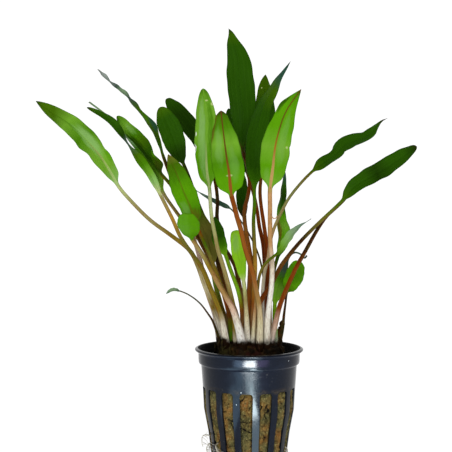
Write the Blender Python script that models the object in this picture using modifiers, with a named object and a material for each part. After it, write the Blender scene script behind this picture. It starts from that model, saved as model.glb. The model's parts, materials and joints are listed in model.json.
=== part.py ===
"""Potted cryptocoryne: leaves on one crown, in a plug of rock wool, in a slotted plastic pot.

The origin is the centre of the underside of the pot. +Z is up and -Y is the front.
Sizes below are in millimetres; the model is built in metres.
"""
import math

import bmesh
import bpy
from mathutils import Vector

MM = 0.001

# Pot: its walls are given as (radius, height)
POT_HEIGHT = 57.9
RIM_RADIUS = 27.5
LIP_HALF_WIDTH = 1.25
LIP_HALF_HEIGHT = 0.75
WALL = 1.2
FLOOR = 1.5
FLOOR_RADIUS = 16.5
BASE_RADIUS = 18.0
POT_STEPS = 45
# Inside of the collar, bottom to top, and its outside, top to bottom
COLLAR_INSIDE = [(23.1, 50.1), (24.3, 51.9), (24.9, 55.8)]
COLLAR = [(25.75, 55.5), (25.6, 51.0), (25.2, 50.3)]
# Outer wall below the collar, top to bottom
BODY_WALL = [(24.3, 49.6), (23.4, 37.0), (22.9, 27.5), (20.7, 16.0), (19.2, 4.6), (18.6, 1.0)]
SLOT_COUNT = 15
SLOT_TOP = 38.8
SLOT_BOTTOM = 4.2
SLOT_WIDTH_TOP = 6.5
SLOT_WIDTH_BOTTOM = 4.9
SLOT_CORNER = 1.6
# Each slot's cutter runs between these radii
SLOT_CUT_FROM = 14.0
SLOT_CUT_TO = 30.0
# One rib stands this many degrees from the front; the slots are turned from the back of the pot
RIB_TURN = 7.0
SLOT_TURN = 180.0 + RIB_TURN + 180.0 / SLOT_COUNT

# Rock wool plug
GAP = 0.3
WOOL_TOP = 49.0
WOOL_STEPS = 24
# Its rounded top edge as (radius, drop below the top)
WOOL_EDGE = [(12.0, 0.0), (19.5, 0.2), (22.2, 1.4)]
WOOL_SIDE_GAP = 0.4
WOOL_FOOT_RADIUS = 15.8
WOOL_DENTS = 0.9
WOOL_DENT_SIZE = 8.0

# Crown that stands on the plug
CROWN_TOP = 60.2
CROWN_HALF_WIDTH = 17.2
CROWN_HALF_DEPTH = 13.4
CROWN_SEGMENTS = 24
CROWN_RINGS = 9
# Swellings round it as (share of the radius, lobes, turn, twist from its middle to its top)
CROWN_SWELLS = [(0.055, 3.0, 1.3, 2.0), (0.035, 7.0, -0.8, 3.5)]
# How steep its flanks are, how flat its top is, and how much the top half narrows
CROWN_STEEPNESS = 1.18
CROWN_FLATNESS = 0.62
CROWN_NARROWING = 0.12

# Front viewpoint: across and up are read on the plane of the pot's axis, as seen from here
VIEW_ACROSS = -11.7
VIEW_UP = 119.6
VIEW_DISTANCE = 400.0

# Leaves: they spread towards the front and the back by this share more between these two heights
SPREAD = 0.8
SPREAD_FROM = 75.0
SPREAD_TO = 175.0
PETIOLE_STEPS = 7
BLADE_STEPS = 8
# Rings lie closer together near the blade's neck
BLADE_CROWDING = 1.1
# The petiole flattens into the blade over this share of the blade
NECK_SHARE = 0.12
# Half thickness of a blade at its edge, its keel under the midrib, and how much the keel thins to the tip
MARGIN = 0.22
MIDRIB = 0.55
MIDRIB_THINNING = 0.75
MIDRIB_TOP = 0.05
LEAST_HALF_WIDTH = 0.12
WAVE_TURN = 0.15
# Corners of a petiole's six-sided section
CORNER_ACROSS = math.cos(math.radians(30.0))
CORNER_UP = math.sin(math.radians(30.0))
# Distance to each side over which a path's direction is read
LOOK_AHEAD = 0.05

LOOKS = {
    "dark_leaf": ((0.022, 0.085, 0.004), 0.42),
    "bright_leaf": ((0.095, 0.31, 0.008), 0.40),
    "grey_leaf": ((0.085, 0.16, 0.075), 0.45),
    "pot_plastic": ((0.012, 0.014, 0.022), 0.25),
    "rock_wool": ((0.20, 0.12, 0.035), 0.95),
    "crown": ((0.025, 0.014, 0.006), 0.85),
    "root": ((0.45, 0.43, 0.36), 0.70),
}


def clear_scene():
    for thing in list(bpy.data.objects):
        bpy.data.objects.remove(thing, do_unlink=True)


def new_collection(name):
    collection = bpy.data.collections.new(name)
    bpy.context.scene.collection.children.link(collection)
    return collection


def material(node, look):
    color, roughness = LOOKS[look]
    made = bpy.data.materials.new(node + "_" + look)
    made.use_nodes = True
    shader = made.node_tree.nodes["Principled BSDF"]
    shader.inputs["Base Color"].default_value = (*color, 1.0)
    shader.inputs["Roughness"].default_value = roughness
    shader.inputs["Metallic"].default_value = 0.0
    made.diffuse_color = (*color, 1.0)
    return made


def finish(node, mesh, look, collection):
    """An object with its own material, shaded smooth."""
    mesh.name = node
    thing = bpy.data.objects.new(node, mesh)
    mesh.materials.append(material(node, look))
    mesh.shade_smooth()
    collection.objects.link(thing)
    return thing


def mesh_of(shape):
    """The mesh of a bmesh, with its faces turned outwards."""
    bmesh.ops.recalc_face_normals(shape, faces=shape.faces)
    mesh = bpy.data.meshes.new("shape")
    shape.to_mesh(mesh)
    shape.free()
    return mesh


def profile_mesh(profile):
    """A chain of edges through (radius, height) points, for a Screw modifier."""
    mesh = bpy.data.meshes.new("profile")
    points = [(radius * MM, 0.0, height * MM) for radius, height in profile]
    edges = [(i, i + 1) for i in range(len(points) - 1)]
    mesh.from_pydata(points, edges, [])
    return mesh


def turn(thing, steps):
    screw = thing.modifiers.new("turned", "SCREW")
    screw.axis = "Z"
    screw.steps = steps
    screw.render_steps = steps
    screw.use_merge_vertices = True
    screw.merge_threshold = 0.00002
    screw.use_smooth_shade = True


# Pot

def lip_profile():
    """The rounded lip, from the inside over the top."""
    lip = []
    for degrees in (160, 110, 60, 10, -40):
        angle = math.radians(degrees)
        lip.append((RIM_RADIUS - LIP_HALF_WIDTH + LIP_HALF_WIDTH * math.cos(angle),
                    POT_HEIGHT - LIP_HALF_HEIGHT + LIP_HALF_HEIGHT * math.sin(angle)))
    return lip


def pot_profile():
    inside = [(0.0, FLOOR), (FLOOR_RADIUS, FLOOR)]
    for radius, height in reversed(BODY_WALL[1:-1]):
        inside.append((radius - WALL, height))
    base = [(BASE_RADIUS, 0.0), (0.0, 0.0)]
    return inside + COLLAR_INSIDE + lip_profile() + COLLAR + BODY_WALL + base


def slot_outline():
    """A slot's outline as (across, height), narrower at the bottom, with round corners."""
    corners = [(SLOT_WIDTH_TOP / 2, SLOT_TOP, 0.0), (-SLOT_WIDTH_TOP / 2, SLOT_TOP, 90.0),
               (-SLOT_WIDTH_BOTTOM / 2, SLOT_BOTTOM, 180.0), (SLOT_WIDTH_BOTTOM / 2, SLOT_BOTTOM, 270.0)]
    outline = []
    for across, height, start in corners:
        middle_across = across - math.copysign(SLOT_CORNER, across)
        middle_height = height + (SLOT_CORNER if start >= 180.0 else -SLOT_CORNER)
        for step in range(2):
            angle = math.radians(start + 90.0 * step)
            outline.append((middle_across + SLOT_CORNER * math.cos(angle),
                            middle_height + SLOT_CORNER * math.sin(angle)))
    return outline


def slot_cutters(collection):
    """One prism for each slot, through the wall only."""
    for index in range(SLOT_COUNT):
        shape = bmesh.new()
        inner = []
        for across, height in slot_outline():
            inner.append(shape.verts.new(Vector((across, SLOT_CUT_FROM, height)) * MM))
        face = shape.faces.new(inner)
        moved = bmesh.ops.extrude_face_region(shape, geom=[face])
        for item in moved["geom"]:
            if isinstance(item, bmesh.types.BMVert):
                item.co.y = SLOT_CUT_TO * MM
        cutter = bpy.data.objects.new("slot_cutter_%02d" % (index + 1), mesh_of(shape))
        cutter.rotation_euler.z = math.radians(SLOT_TURN + index * 360.0 / SLOT_COUNT)
        cutter.hide_render = True
        cutter.display_type = "WIRE"
        collection.objects.link(cutter)


def make_pot(collection, cutters):
    slot_cutters(cutters)
    pot = finish("pot", profile_mesh(pot_profile()), "pot_plastic", collection)
    turn(pot, POT_STEPS)
    slots = pot.modifiers.new("slots", "BOOLEAN")
    slots.operation = "DIFFERENCE"
    slots.operand_type = "COLLECTION"
    slots.collection = cutters
    slots.solver = "EXACT"
    return pot


# Rock wool

def make_wool(collection):
    """The plug fills the pot and is dented all round its side."""
    top = [(0.0, WOOL_TOP)] + [(radius, WOOL_TOP - drop) for radius, drop in WOOL_EDGE]
    flank = [(radius - WALL - WOOL_SIDE_GAP, height) for radius, height in BODY_WALL[1:-1]]
    foot = [(WOOL_FOOT_RADIUS, FLOOR + GAP), (0.0, FLOOR + GAP)]
    wool = finish("rock_wool", profile_mesh(top + flank + foot), "rock_wool", collection)
    side = wool.vertex_groups.new(name="side")
    side.add(list(range(len(top), len(top) + len(flank))), 1.0, "REPLACE")
    turn(wool, WOOL_STEPS)
    texture = bpy.data.textures.new("wool_dents", "CLOUDS")
    texture.noise_scale = WOOL_DENT_SIZE * MM
    dents = wool.modifiers.new("dents", "DISPLACE")
    dents.texture = texture
    dents.texture_coords = "LOCAL"
    dents.mid_level = 1.0
    dents.strength = WOOL_DENTS * MM
    dents.vertex_group = "side"
    return wool


# Crown

def lump(angle, level):
    """How far the crown swells or sinks at an angle and a level, as a share of its radius."""
    return sum(share * math.sin(lobes * angle + start + twist * level)
               for share, lobes, start, twist in CROWN_SWELLS)


def make_crown(collection):
    """A lumpy mound with a flat top, which carries the leaves."""
    ball = bmesh.new()
    bmesh.ops.create_uvsphere(ball, u_segments=CROWN_SEGMENTS, v_segments=CROWN_RINGS, radius=1.0)
    bottom = WOOL_TOP + GAP
    for vert in ball.verts:
        level = vert.co.z
        angle = math.atan2(vert.co.y, vert.co.x)
        swell = 1.0 + lump(angle, level) - CROWN_NARROWING * max(level, 0.0)
        reach = min(1.0, math.hypot(vert.co.x, vert.co.y) * CROWN_STEEPNESS) * swell
        height = bottom + (CROWN_TOP - bottom) * min(1.0, max(0.0, 0.5 + CROWN_FLATNESS * level))
        vert.co = Vector((reach * math.cos(angle) * CROWN_HALF_WIDTH,
                          reach * math.sin(angle) * CROWN_HALF_DEPTH, height)) * MM
    return finish("crown", mesh_of(ball), "crown", collection)


# Leaves

def ease(t):
    t = min(max(t, 0.0), 1.0)
    return t * t * (3.0 - 2.0 * t)


def seen(across, up, lean):
    """The place that shows at (across, up) from the front viewpoint, leaning back (+) or forward (-).

    The leaves spread towards the front and the back as they rise.
    """
    depth = lean * (1.0 + SPREAD * ease((up - SPREAD_FROM) / (SPREAD_TO - SPREAD_FROM)))
    share = (VIEW_DISTANCE + depth) / VIEW_DISTANCE
    return Vector((VIEW_ACROSS + (across - VIEW_ACROSS) * share, depth,
                   VIEW_UP + (up - VIEW_UP) * share))


class SmoothPath:
    """A smooth curve through points, followed by distance."""

    def __init__(self, points):
        self.points = points
        self.at = [0.0]
        for before, after in zip(points, points[1:]):
            self.at.append(self.at[-1] + (after - before).length)
        self.slopes = []
        for i in range(len(points)):
            low, high = max(i - 1, 0), min(i + 1, len(points) - 1)
            self.slopes.append((points[high] - points[low]) / (self.at[high] - self.at[low]))

    def place(self, distance):
        index = 0
        while index < len(self.at) - 2 and distance > self.at[index + 1]:
            index += 1
        span = self.at[index + 1] - self.at[index]
        t = (distance - self.at[index]) / span
        first = self.points[index] * (2 * t ** 3 - 3 * t ** 2 + 1)
        second = self.points[index + 1] * (3 * t ** 2 - 2 * t ** 3)
        leaving = self.slopes[index] * (t ** 3 - 2 * t ** 2 + t) * span
        arriving = self.slopes[index + 1] * (t ** 3 - t ** 2) * span
        return first + second + leaving + arriving

    def direction(self, distance):
        ahead = self.place(min(distance + LOOK_AHEAD, self.at[-1]))
        behind = self.place(max(distance - LOOK_AHEAD, 0.0))
        return (ahead - behind).normalized()


def blade_share(t, fullness, taper):
    """Half width of a blade at t from its neck (0) to its tip (1), as a share of the widest."""
    t = min(max(t, 0.0), 1.0)
    peak = fullness / (fullness + taper)
    most = peak ** fullness * (1.0 - peak) ** taper
    return t ** fullness * (1.0 - t) ** taper / most


def leaf_ring(centre, along, face, stalk, blade, t, spec):
    """Six points round a leaf: from a round petiole (blade 0) to a thin folded blade (blade 1)."""
    side = along.cross(face).normalized()
    up = side.cross(along).normalized()
    narrowing, middle, reach_along = spec["waist"]
    half = spec["width"] / 2 * blade_share(t, spec["fullness"], spec["taper"])
    half -= narrowing * math.exp(-((t - middle) / reach_along) ** 2)
    wave = spec["wave"] * math.sin(2 * math.pi * (spec["waves"] * t + WAVE_TURN)) * min(1.0, half)
    lift = spec["fold"] * half
    keel = MIDRIB * (1.0 - MIDRIB_THINNING * t)
    reach = stalk * CORNER_ACROSS * (1 - blade) + max(half, LEAST_HALF_WIDTH) * blade
    top = stalk * (1 - blade) + MIDRIB_TOP * blade
    below = stalk * (1 - blade) + keel * blade
    edge = stalk * CORNER_UP * (1 - blade) + MARGIN * blade
    left = (lift + wave) * blade
    right = (lift - wave) * blade
    return [centre + up * top,
            centre + side * reach + up * (right + edge),
            centre + side * reach + up * (right - edge),
            centre - up * below,
            centre - side * reach + up * (left - edge),
            centre - side * reach + up * (left + edge)]


def leaf_rings(spec):
    base_across, base_depth = spec["base"]
    foot = seen(base_across, CROWN_TOP + GAP, base_depth)
    foot.z = CROWN_TOP + GAP
    points = [foot] + [seen(*point) for point in spec["stem"] + spec["blade"]]
    path = SmoothPath(points)
    neck = path.at[len(spec["stem"])]
    total = path.at[-1]
    face_low, face_high = Vector(spec["face"]), Vector(spec["face_tip"])
    thick_low, thick_high = spec["stalk"]
    stops = [neck * i / PETIOLE_STEPS for i in range(PETIOLE_STEPS)]
    for i in range(BLADE_STEPS + 1):
        stops.append(neck + (total - neck) * (i / BLADE_STEPS) ** BLADE_CROWDING)
    rings = []
    for distance in stops:
        t = max(0.0, (distance - neck) / (total - neck))
        along = Vector((0, 0, 1)) if distance == 0.0 else path.direction(distance)
        face = face_low.lerp(face_high, t)
        stalk = thick_low + (thick_high - thick_low) * ease(distance / neck)
        blade = ease(t / NECK_SHARE)
        rings.append(leaf_ring(path.place(distance), along, face, stalk, blade, t, spec))
    return rings


def loft(rings):
    """A closed solid through rings of six points.

    The upper and the lower face are split along the same diagonals, so that a twisted blade keeps
    its thickness.
    """
    shape = bmesh.new()
    made = [[shape.verts.new(point * MM) for point in ring] for ring in rings]
    count = len(rings[0])
    for lower, upper in zip(made, made[1:]):
        for i in range(count):
            j = (i + 1) % count
            if i % (count // 2) == 0:
                shape.faces.new((lower[i], lower[j], upper[j]))
                shape.faces.new((lower[i], upper[j], upper[i]))
            else:
                shape.faces.new((lower[i], lower[j], upper[i]))
                shape.faces.new((lower[j], upper[j], upper[i]))
    shape.faces.new(made[0])
    shape.faces.new(made[-1])
    return mesh_of(shape)


def make_leaf(collection, node, look, base, stem, blade, width, face, face_tip=None,
              stalk=(1.4, 0.9), fullness=0.7, taper=0.8, fold=0.2, wave=0.0, waves=2.0,
              waist=(0.0, 0.5, 0.1)):
    """One leaf: a petiole through stem, whose last point is the neck, then a blade to its tip."""
    spec = {"base": base, "stem": stem, "blade": blade, "width": width, "face": face,
            "face_tip": face_tip or face, "stalk": stalk, "fullness": fullness, "taper": taper,
            "fold": fold, "wave": wave, "waves": waves, "waist": waist}
    return finish(node, loft(leaf_rings(spec)), look, collection)


def make_left_leaves(plant):
    make_leaf(plant, "leaf_far_left", "bright_leaf", base=(-13.2, -1.5),
              stem=[(-15.3, 70.8, -1.8), (-18.8, 80, -2), (-22.9, 90.5, -2.3), (-26, 99.3, -2.6),
                    (-30, 107, -3), (-39.2, 114.5, -4), (-50.4, 122.7, -6), (-60.5, 132.8, -7),
                    (-66.2, 139.5, -8)],
              blade=[(-70.8, 147.5, -9), (-76.6, 156.3, -10.5), (-89.6, 170, -12), (-99, 176.6, -13.5),
                     (-108.4, 183.2, -15)],
              width=10.4, face=(0.1, -0.9, 0.35), fullness=0.75, taper=0.75, wave=0.35)
    make_leaf(plant, "leaf_low_left", "grey_leaf", base=(-14.6, -4.6),
              stem=[(-18.3, 70.8, -5.5), (-20.9, 75, -6), (-24.9, 80.2, -7), (-30, 84.2, -8.5),
                    (-35.1, 86.5, -10)],
              blade=[(-38.7, 86.9, -11), (-42.2, 85.2, -12)],
              width=2.6, face=(0, -0.5, 0.85), stalk=(0.6, 0.35), fold=0.4)
    make_leaf(plant, "leaf_left_slender", "grey_leaf", base=(-15.0, 1.5),
              stem=[(-17.3, 74.3, 2), (-20.4, 83.5, 2.3), (-22.9, 92.1, 2.7), (-24.4, 100.3, 3),
                    (-26.5, 108.4, 3.2), (-30, 118.1, 3.6), (-35.1, 131.3, 4.2), (-40.2, 145.6, 5.5),
                    (-43.3, 154.2, 8)],
              blade=[(-46.8, 164.4, 11), (-50.8, 172.2, 13.5), (-56, 178.3, 15), (-63.1, 186.8, 17),
                     (-71.1, 193.4, 19), (-76.9, 199.3, 20)],
              width=4.6, face=(0.6, -0.55, 0.5), fullness=0.5, taper=0.8, wave=0.3,
              waist=(0.4, 0.24, 0.06))
    make_leaf(plant, "leaf_left_back", "grey_leaf", base=(-10.2, 4.5),
              stem=[(-11.7, 70.8, 5.5), (-13.7, 77, 6.5), (-16.8, 88.6, 9), (-18.8, 98.2, 12),
                    (-22.4, 108.9, 13), (-30, 117.6, 13), (-39.2, 129.8, 12), (-43.8, 136.9, 12)],
              blade=[(-45.3, 143, 12), (-50.4, 150.7, 12.5), (-55.5, 157.3, 13), (-60.6, 163.4, 13.5),
                     (-66.7, 170.5, 14), (-73.3, 176.6, 15), (-81.4, 182.7, 16)],
              width=4.8, face=(0.45, -0.8, 0.4), fullness=0.6, taper=2.4)
    make_leaf(plant, "leaf_left_narrow", "dark_leaf", base=(-11.6, -6.5),
              stem=[(-13.7, 71.8, -7), (-15.8, 78.4, -7.5), (-19.9, 88.6, -8.3), (-23.9, 98.2, -9),
                    (-27.5, 103.3, -9.5), (-31.6, 109, -10), (-35.1, 114.5, -10.3),
                    (-39.2, 123.7, -10.7), (-44.8, 134.9, -11)],
              blade=[(-49.4, 144.4, -11.5), (-55.3, 153, -12), (-61.6, 161.4, -12.5), (-69, 172, -14),
                     (-75, 176.2, -15), (-82.5, 180, -16)],
              width=4.8, face=(0.3, -0.9, 0.3), fullness=0.4, taper=0.5, waist=(1.95, 0.53, 0.1))
    make_leaf(plant, "leaf_left_round_tip", "bright_leaf", base=(-7.5, 7.5),
              stem=[(-8.1, 71.8, 7.5), (-10.2, 80.4, 7.5), (-13.2, 88.1, 7.5), (-16.3, 94.2, 7.5),
                    (-18.8, 100.8, 7.8), (-22.4, 107.4, 8), (-28, 117.6, 8.3), (-34.1, 130.3, 9),
                    (-40.2, 141, 9), (-44.3, 145.6, 8)],
              blade=[(-50.1, 155.5, 6), (-55.4, 162.5, 4.5), (-62.5, 169.7, 3), (-67.2, 175.6, 2)],
              width=7.8, face=(0.37, -0.87, 0.33), taper=0.5)
    make_leaf(plant, "leaf_upper_left", "dark_leaf", base=(-4.8, 3.2),
              stem=[(-6.6, 74.3, 3.6), (-9.7, 83, 4.3), (-12.7, 89.1, 5), (-14.8, 96.2, 5.5),
                    (-16.3, 103.3, 5.5), (-18.3, 112.5, 5.5), (-22.4, 122.7, 5.5),
                    (-26.5, 132.8, 5.2), (-30, 143, 4.5), (-33.1, 150.7, 4)],
              blade=[(-36.6, 158.3, 3.5), (-38.8, 165, 3), (-42, 173, 2.5), (-45.2, 180.2, 2)],
              width=12.0, face=(0.15, -0.97, 0.1), taper=0.55)
    make_leaf(plant, "leaf_upper_left_back", "dark_leaf", base=(-3.0, 8.0),
              stem=[(-3.1, 74.3, 8), (-3.6, 81.9, 8), (-5.1, 90.1, 8), (-6.6, 98.2, 8),
                    (-8.7, 102.6, 8), (-11.7, 106.9, 8.5), (-14.8, 115, 9), (-16.3, 124.2, 9.5),
                    (-16, 132.8, 10), (-17.6, 144, 11), (-20.4, 152.2, 12)],
              blade=[(-26, 163.4, 14), (-31, 171, 16), (-36.8, 178.2, 18), (-41.7, 184.6, 20)],
              width=10.6, face=(0.3, -0.9, 0.2), taper=0.5)
    make_leaf(plant, "leaf_left_broad", "dark_leaf", base=(-8.3, -3.0),
              stem=[(-9.7, 72.8, -3.5), (-12.2, 83, -4), (-15.8, 93.7, -5), (-19.9, 104.3, -6),
                    (-23.4, 112.5, -7), (-26.5, 119.6, -8)],
              blade=[(-28.5, 125.2, -8.5), (-30.5, 130.8, -9), (-33.6, 137.9, -9.7),
                     (-37.2, 147.1, -11), (-41.1, 156, -13)],
              width=11.4, face=(0.1, -0.98, 0.1), fullness=0.6, taper=0.75)
    make_leaf(plant, "leaf_left_young", "bright_leaf", base=(-3.4, -10.5),
              stem=[(-5.6, 69.2, -11), (-8.7, 78.4, -11.3), (-12.2, 84.5, -11.7), (-15.8, 90.6, -12.2),
                    (-19.9, 98.2, -13), (-22.9, 103.8, -13.8), (-26.5, 109.4, -15),
                    (-29, 113, -17)],
              blade=[(-30.2, 116.6, -21), (-31, 120.5, -26), (-31.4, 126, -31)],
              width=10.6, face=(0.05, 0.65, 0.75), stalk=(1.5, 0.8), fullness=0.5, taper=0.5)
    make_leaf(plant, "leaf_left_dark_folded", "dark_leaf", base=(-6.8, -0.2),
              stem=[(-7.6, 70.8, 0), (-9.7, 78.4, 0.2), (-13.2, 87, 0.5), (-15.8, 92.1, 0.8),
                    (-18.3, 98.2, 1)],
              blade=[(-19.3, 107.4, 0.8), (-21.4, 115, 0.5), (-26.5, 125.2, 0), (-30, 137.9, -1)],
              width=7.6, face=(0.4, -0.9, 0), stalk=(1.2, 0.9), fold=0.5)
    make_leaf(plant, "leaf_thin_grey", "grey_leaf", base=(7.2, 10.2),
              stem=[(8.1, 71.8, 12.5), (7.9, 84.5, 14.5), (6.6, 98.2, 16), (3.1, 109.4, 17),
                    (-3.1, 120.6, 17), (-8.9, 128, 16.5)],
              blade=[(-12.7, 130, 16.3), (-17.3, 132.1, 16), (-22.4, 134.9, 15.5), (-27.5, 138.2, 15)],
              width=3.2, face=(0.1, -0.8, 0.55), stalk=(0.7, 0.4), fullness=0.6, taper=1.4)


def make_centre_leaves(plant):
    make_leaf(plant, "leaf_centre_left_pale", "bright_leaf", base=(-6.2, -7.0),
              stem=[(-7.6, 75.8, -7.4), (-9.7, 86, -7.8), (-11.7, 93.7, -8.2), (-13.7, 100.8, -8.6),
                    (-15.8, 107.4, -9), (-17.3, 115, -9.3), (-18.8, 122.7, -9.6),
                    (-19.6, 130.3, -9.8), (-20.1, 138.5, -10)],
              blade=[(-21.4, 147, -10), (-21.9, 160.8, -10.5), (-21.9, 173.6, -11.2),
                     (-22.6, 183, -12), (-23.4, 189.6, -13)],
              width=11.2, face=(0.1, -1, 0), fullness=0.5, taper=0.54)
    make_leaf(plant, "leaf_centre_left_red", "bright_leaf", base=(5.4, -10.0),
              stem=[(5.6, 72.8, -10.5), (5.1, 79.4, -11), (3.6, 87, -12), (2.3, 94.2, -13.2),
                    (0.5, 100.3, -14), (-2, 108.4, -15), (-4.1, 117.6, -16), (-6.1, 124.2, -16.7),
                    (-7.6, 130.3, -17.3), (-8.9, 134.9, -18)],
              blade=[(-10.2, 147.1, -19), (-11.2, 153.2, -19.5), (-13.2, 168.5, -22),
                     (-14.3, 178.2, -25)],
              width=14.8, face=(0, -1, 0.1), stalk=(1.35, 1.15), fullness=0.42, taper=0.7)
    make_leaf(plant, "leaf_centre_young", "bright_leaf", base=(-0.9, -7.0),
              stem=[(-1.2, 71.8, -7.4), (-1.8, 81.9, -8), (-2.6, 90.5, -8.5)],
              blade=[(-3.6, 96.2, -9), (-4.4, 101.2, -9.2), (-5.3, 105, -9.4), (-5.9, 110.5, -9.8),
                     (-6.6, 117.5, -10.6)],
              width=6.8, face=(0, -1, 0), stalk=(1.3, 1), fullness=0.6, taper=0.25)
    make_leaf(plant, "leaf_inner_left", "dark_leaf", base=(-2.4, -3.5),
              stem=[(-3.1, 71.8, -3.3), (-4.1, 80.4, -3.2), (-5.6, 87, -3.1), (-7.6, 92.6, -3.2),
                    (-9.7, 98.2, -3.4), (-11.7, 104.3, -3.6)],
              blade=[(-13.7, 108.9, -3.8), (-15.3, 113.5, -4), (-16, 118.6, -4.4), (-17.6, 124.4, -5)],
              width=7.0, face=(-0.2, -0.95, 0.1), stalk=(1.2, 1.0))
    make_leaf(plant, "leaf_inner_dark", "dark_leaf", base=(-1.5, 4.0),
              stem=[(-0.8, 76.9, 4), (0, 89.6, 4.5), (0.3, 101.3, 5), (-0.5, 112.5, 6),
                    (-2.5, 123.2, 7)],
              blade=[(-3.3, 128.8, 8), (-3.6, 134.4, 9), (-3.3, 140, 10), (-2.5, 146.1, 11)],
              width=6.4, face=(0.1, -1, 0), stalk=(1.2, 0.8))
    make_leaf(plant, "leaf_centre_back", "dark_leaf", base=(4.0, 8.8),
              stem=[(6.6, 71.8, 9.2), (8.1, 81.9, 9.8), (8.4, 92.1, 10), (7.9, 102.3, 10.5),
                    (7.1, 111, 11), (5.3, 119.1, 11.5), (4.1, 127.8, 12), (2.5, 135.4, 12.5),
                    (-0.5, 145.6, 14)],
              blade=[(-3.1, 153.2, 16), (-5.6, 161.9, 18), (-8.1, 170, 20), (-10.4, 179.5, 23)],
              width=11.0, face=(0.2, -1, 0), taper=0.7)
    make_leaf(plant, "leaf_tallest", "dark_leaf", base=(0.2, 1.0),
              stem=[(-0.5, 71.8, 1), (0, 81.9, 1), (0.8, 92.1, 0.5), (1, 101.3, 0), (-0.3, 110, 0),
                    (-2, 120.1, 0), (-2.3, 127.8, 0.5), (-0.5, 134.9, 1.5), (0.3, 142, 2.5),
                    (-1, 150.7, 3.5), (-3.1, 158.3, 4.5)],
              blade=[(-2.8, 173.6, 6), (-3.6, 183.7, 7.5), (-4.5, 192.9, 9), (-5.3, 204.1, 10.5),
                     (-7.2, 211.7, 11.5), (-10.4, 220.1, 13)],
              width=14.6, face=(0.1, -1, 0.1), fullness=0.6, taper=0.63, wave=0.4)
    make_leaf(plant, "leaf_upper_right_back", "dark_leaf", base=(8.7, 6.6),
              stem=[(9.4, 76.9, 6.5), (9.7, 89.6, 6.3), (9.2, 101.3, 6), (8.9, 110, 6),
                    (7.6, 120.1, 6), (6.1, 130.3, 6.5), (5.6, 137.9, 7), (6.6, 148.1, 8)],
              blade=[(7.6, 159.3, 10), (8.1, 171, 13), (8.1, 181.2, 16), (7.9, 190, 19),
                     (8.4, 196.7, 22)],
              width=11.5, face=(0, -1, 0))
    make_leaf(plant, "leaf_upper_right_curled", "dark_leaf", base=(1.5, -3.2),
              stem=[(2, 74.3, -3.2), (2.5, 87, -3.3), (3.1, 99.8, -3.5), (2.5, 115, -3.5),
                    (2.3, 122.7, -3.5), (2.8, 130.3, -3.2), (2.7, 137, -3)],
              blade=[(2.8, 147.1, -2.5), (2.8, 157.3, -1.5), (3.6, 166, 0), (5.6, 174.6, 2),
                     (8.1, 182.2, 4), (11.8, 188.5, 6), (15.2, 194.8, 8), (21.2, 203.3, 11)],
              width=11.6, face=(0.15, -0.98, 0), face_tip=(0.8, -0.5, -0.4), fullness=0.6, taper=1)
    make_leaf(plant, "leaf_centre_right", "bright_leaf", base=(9.0, -8.0),
              stem=[(9.2, 69.2, -8.3), (10.2, 79.4, -8.7), (11.5, 89.6, -9.2), (11.7, 101.3, -9.7),
                    (10.9, 110, -10.2), (10.7, 120.1, -11), (10.7, 130.3, -12), (10.7, 138, -13)],
              blade=[(12, 148.1, -14), (13.5, 160.8, -15.5), (16.4, 171.8, -17.5),
                     (18.9, 178, -19), (22.1, 183.1, -20.5), (26.5, 189.1, -23)],
              width=14, face=(0.05, -1, 0.05), stalk=(1.4, 1.1), fullness=0.55, taper=0.9)


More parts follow.
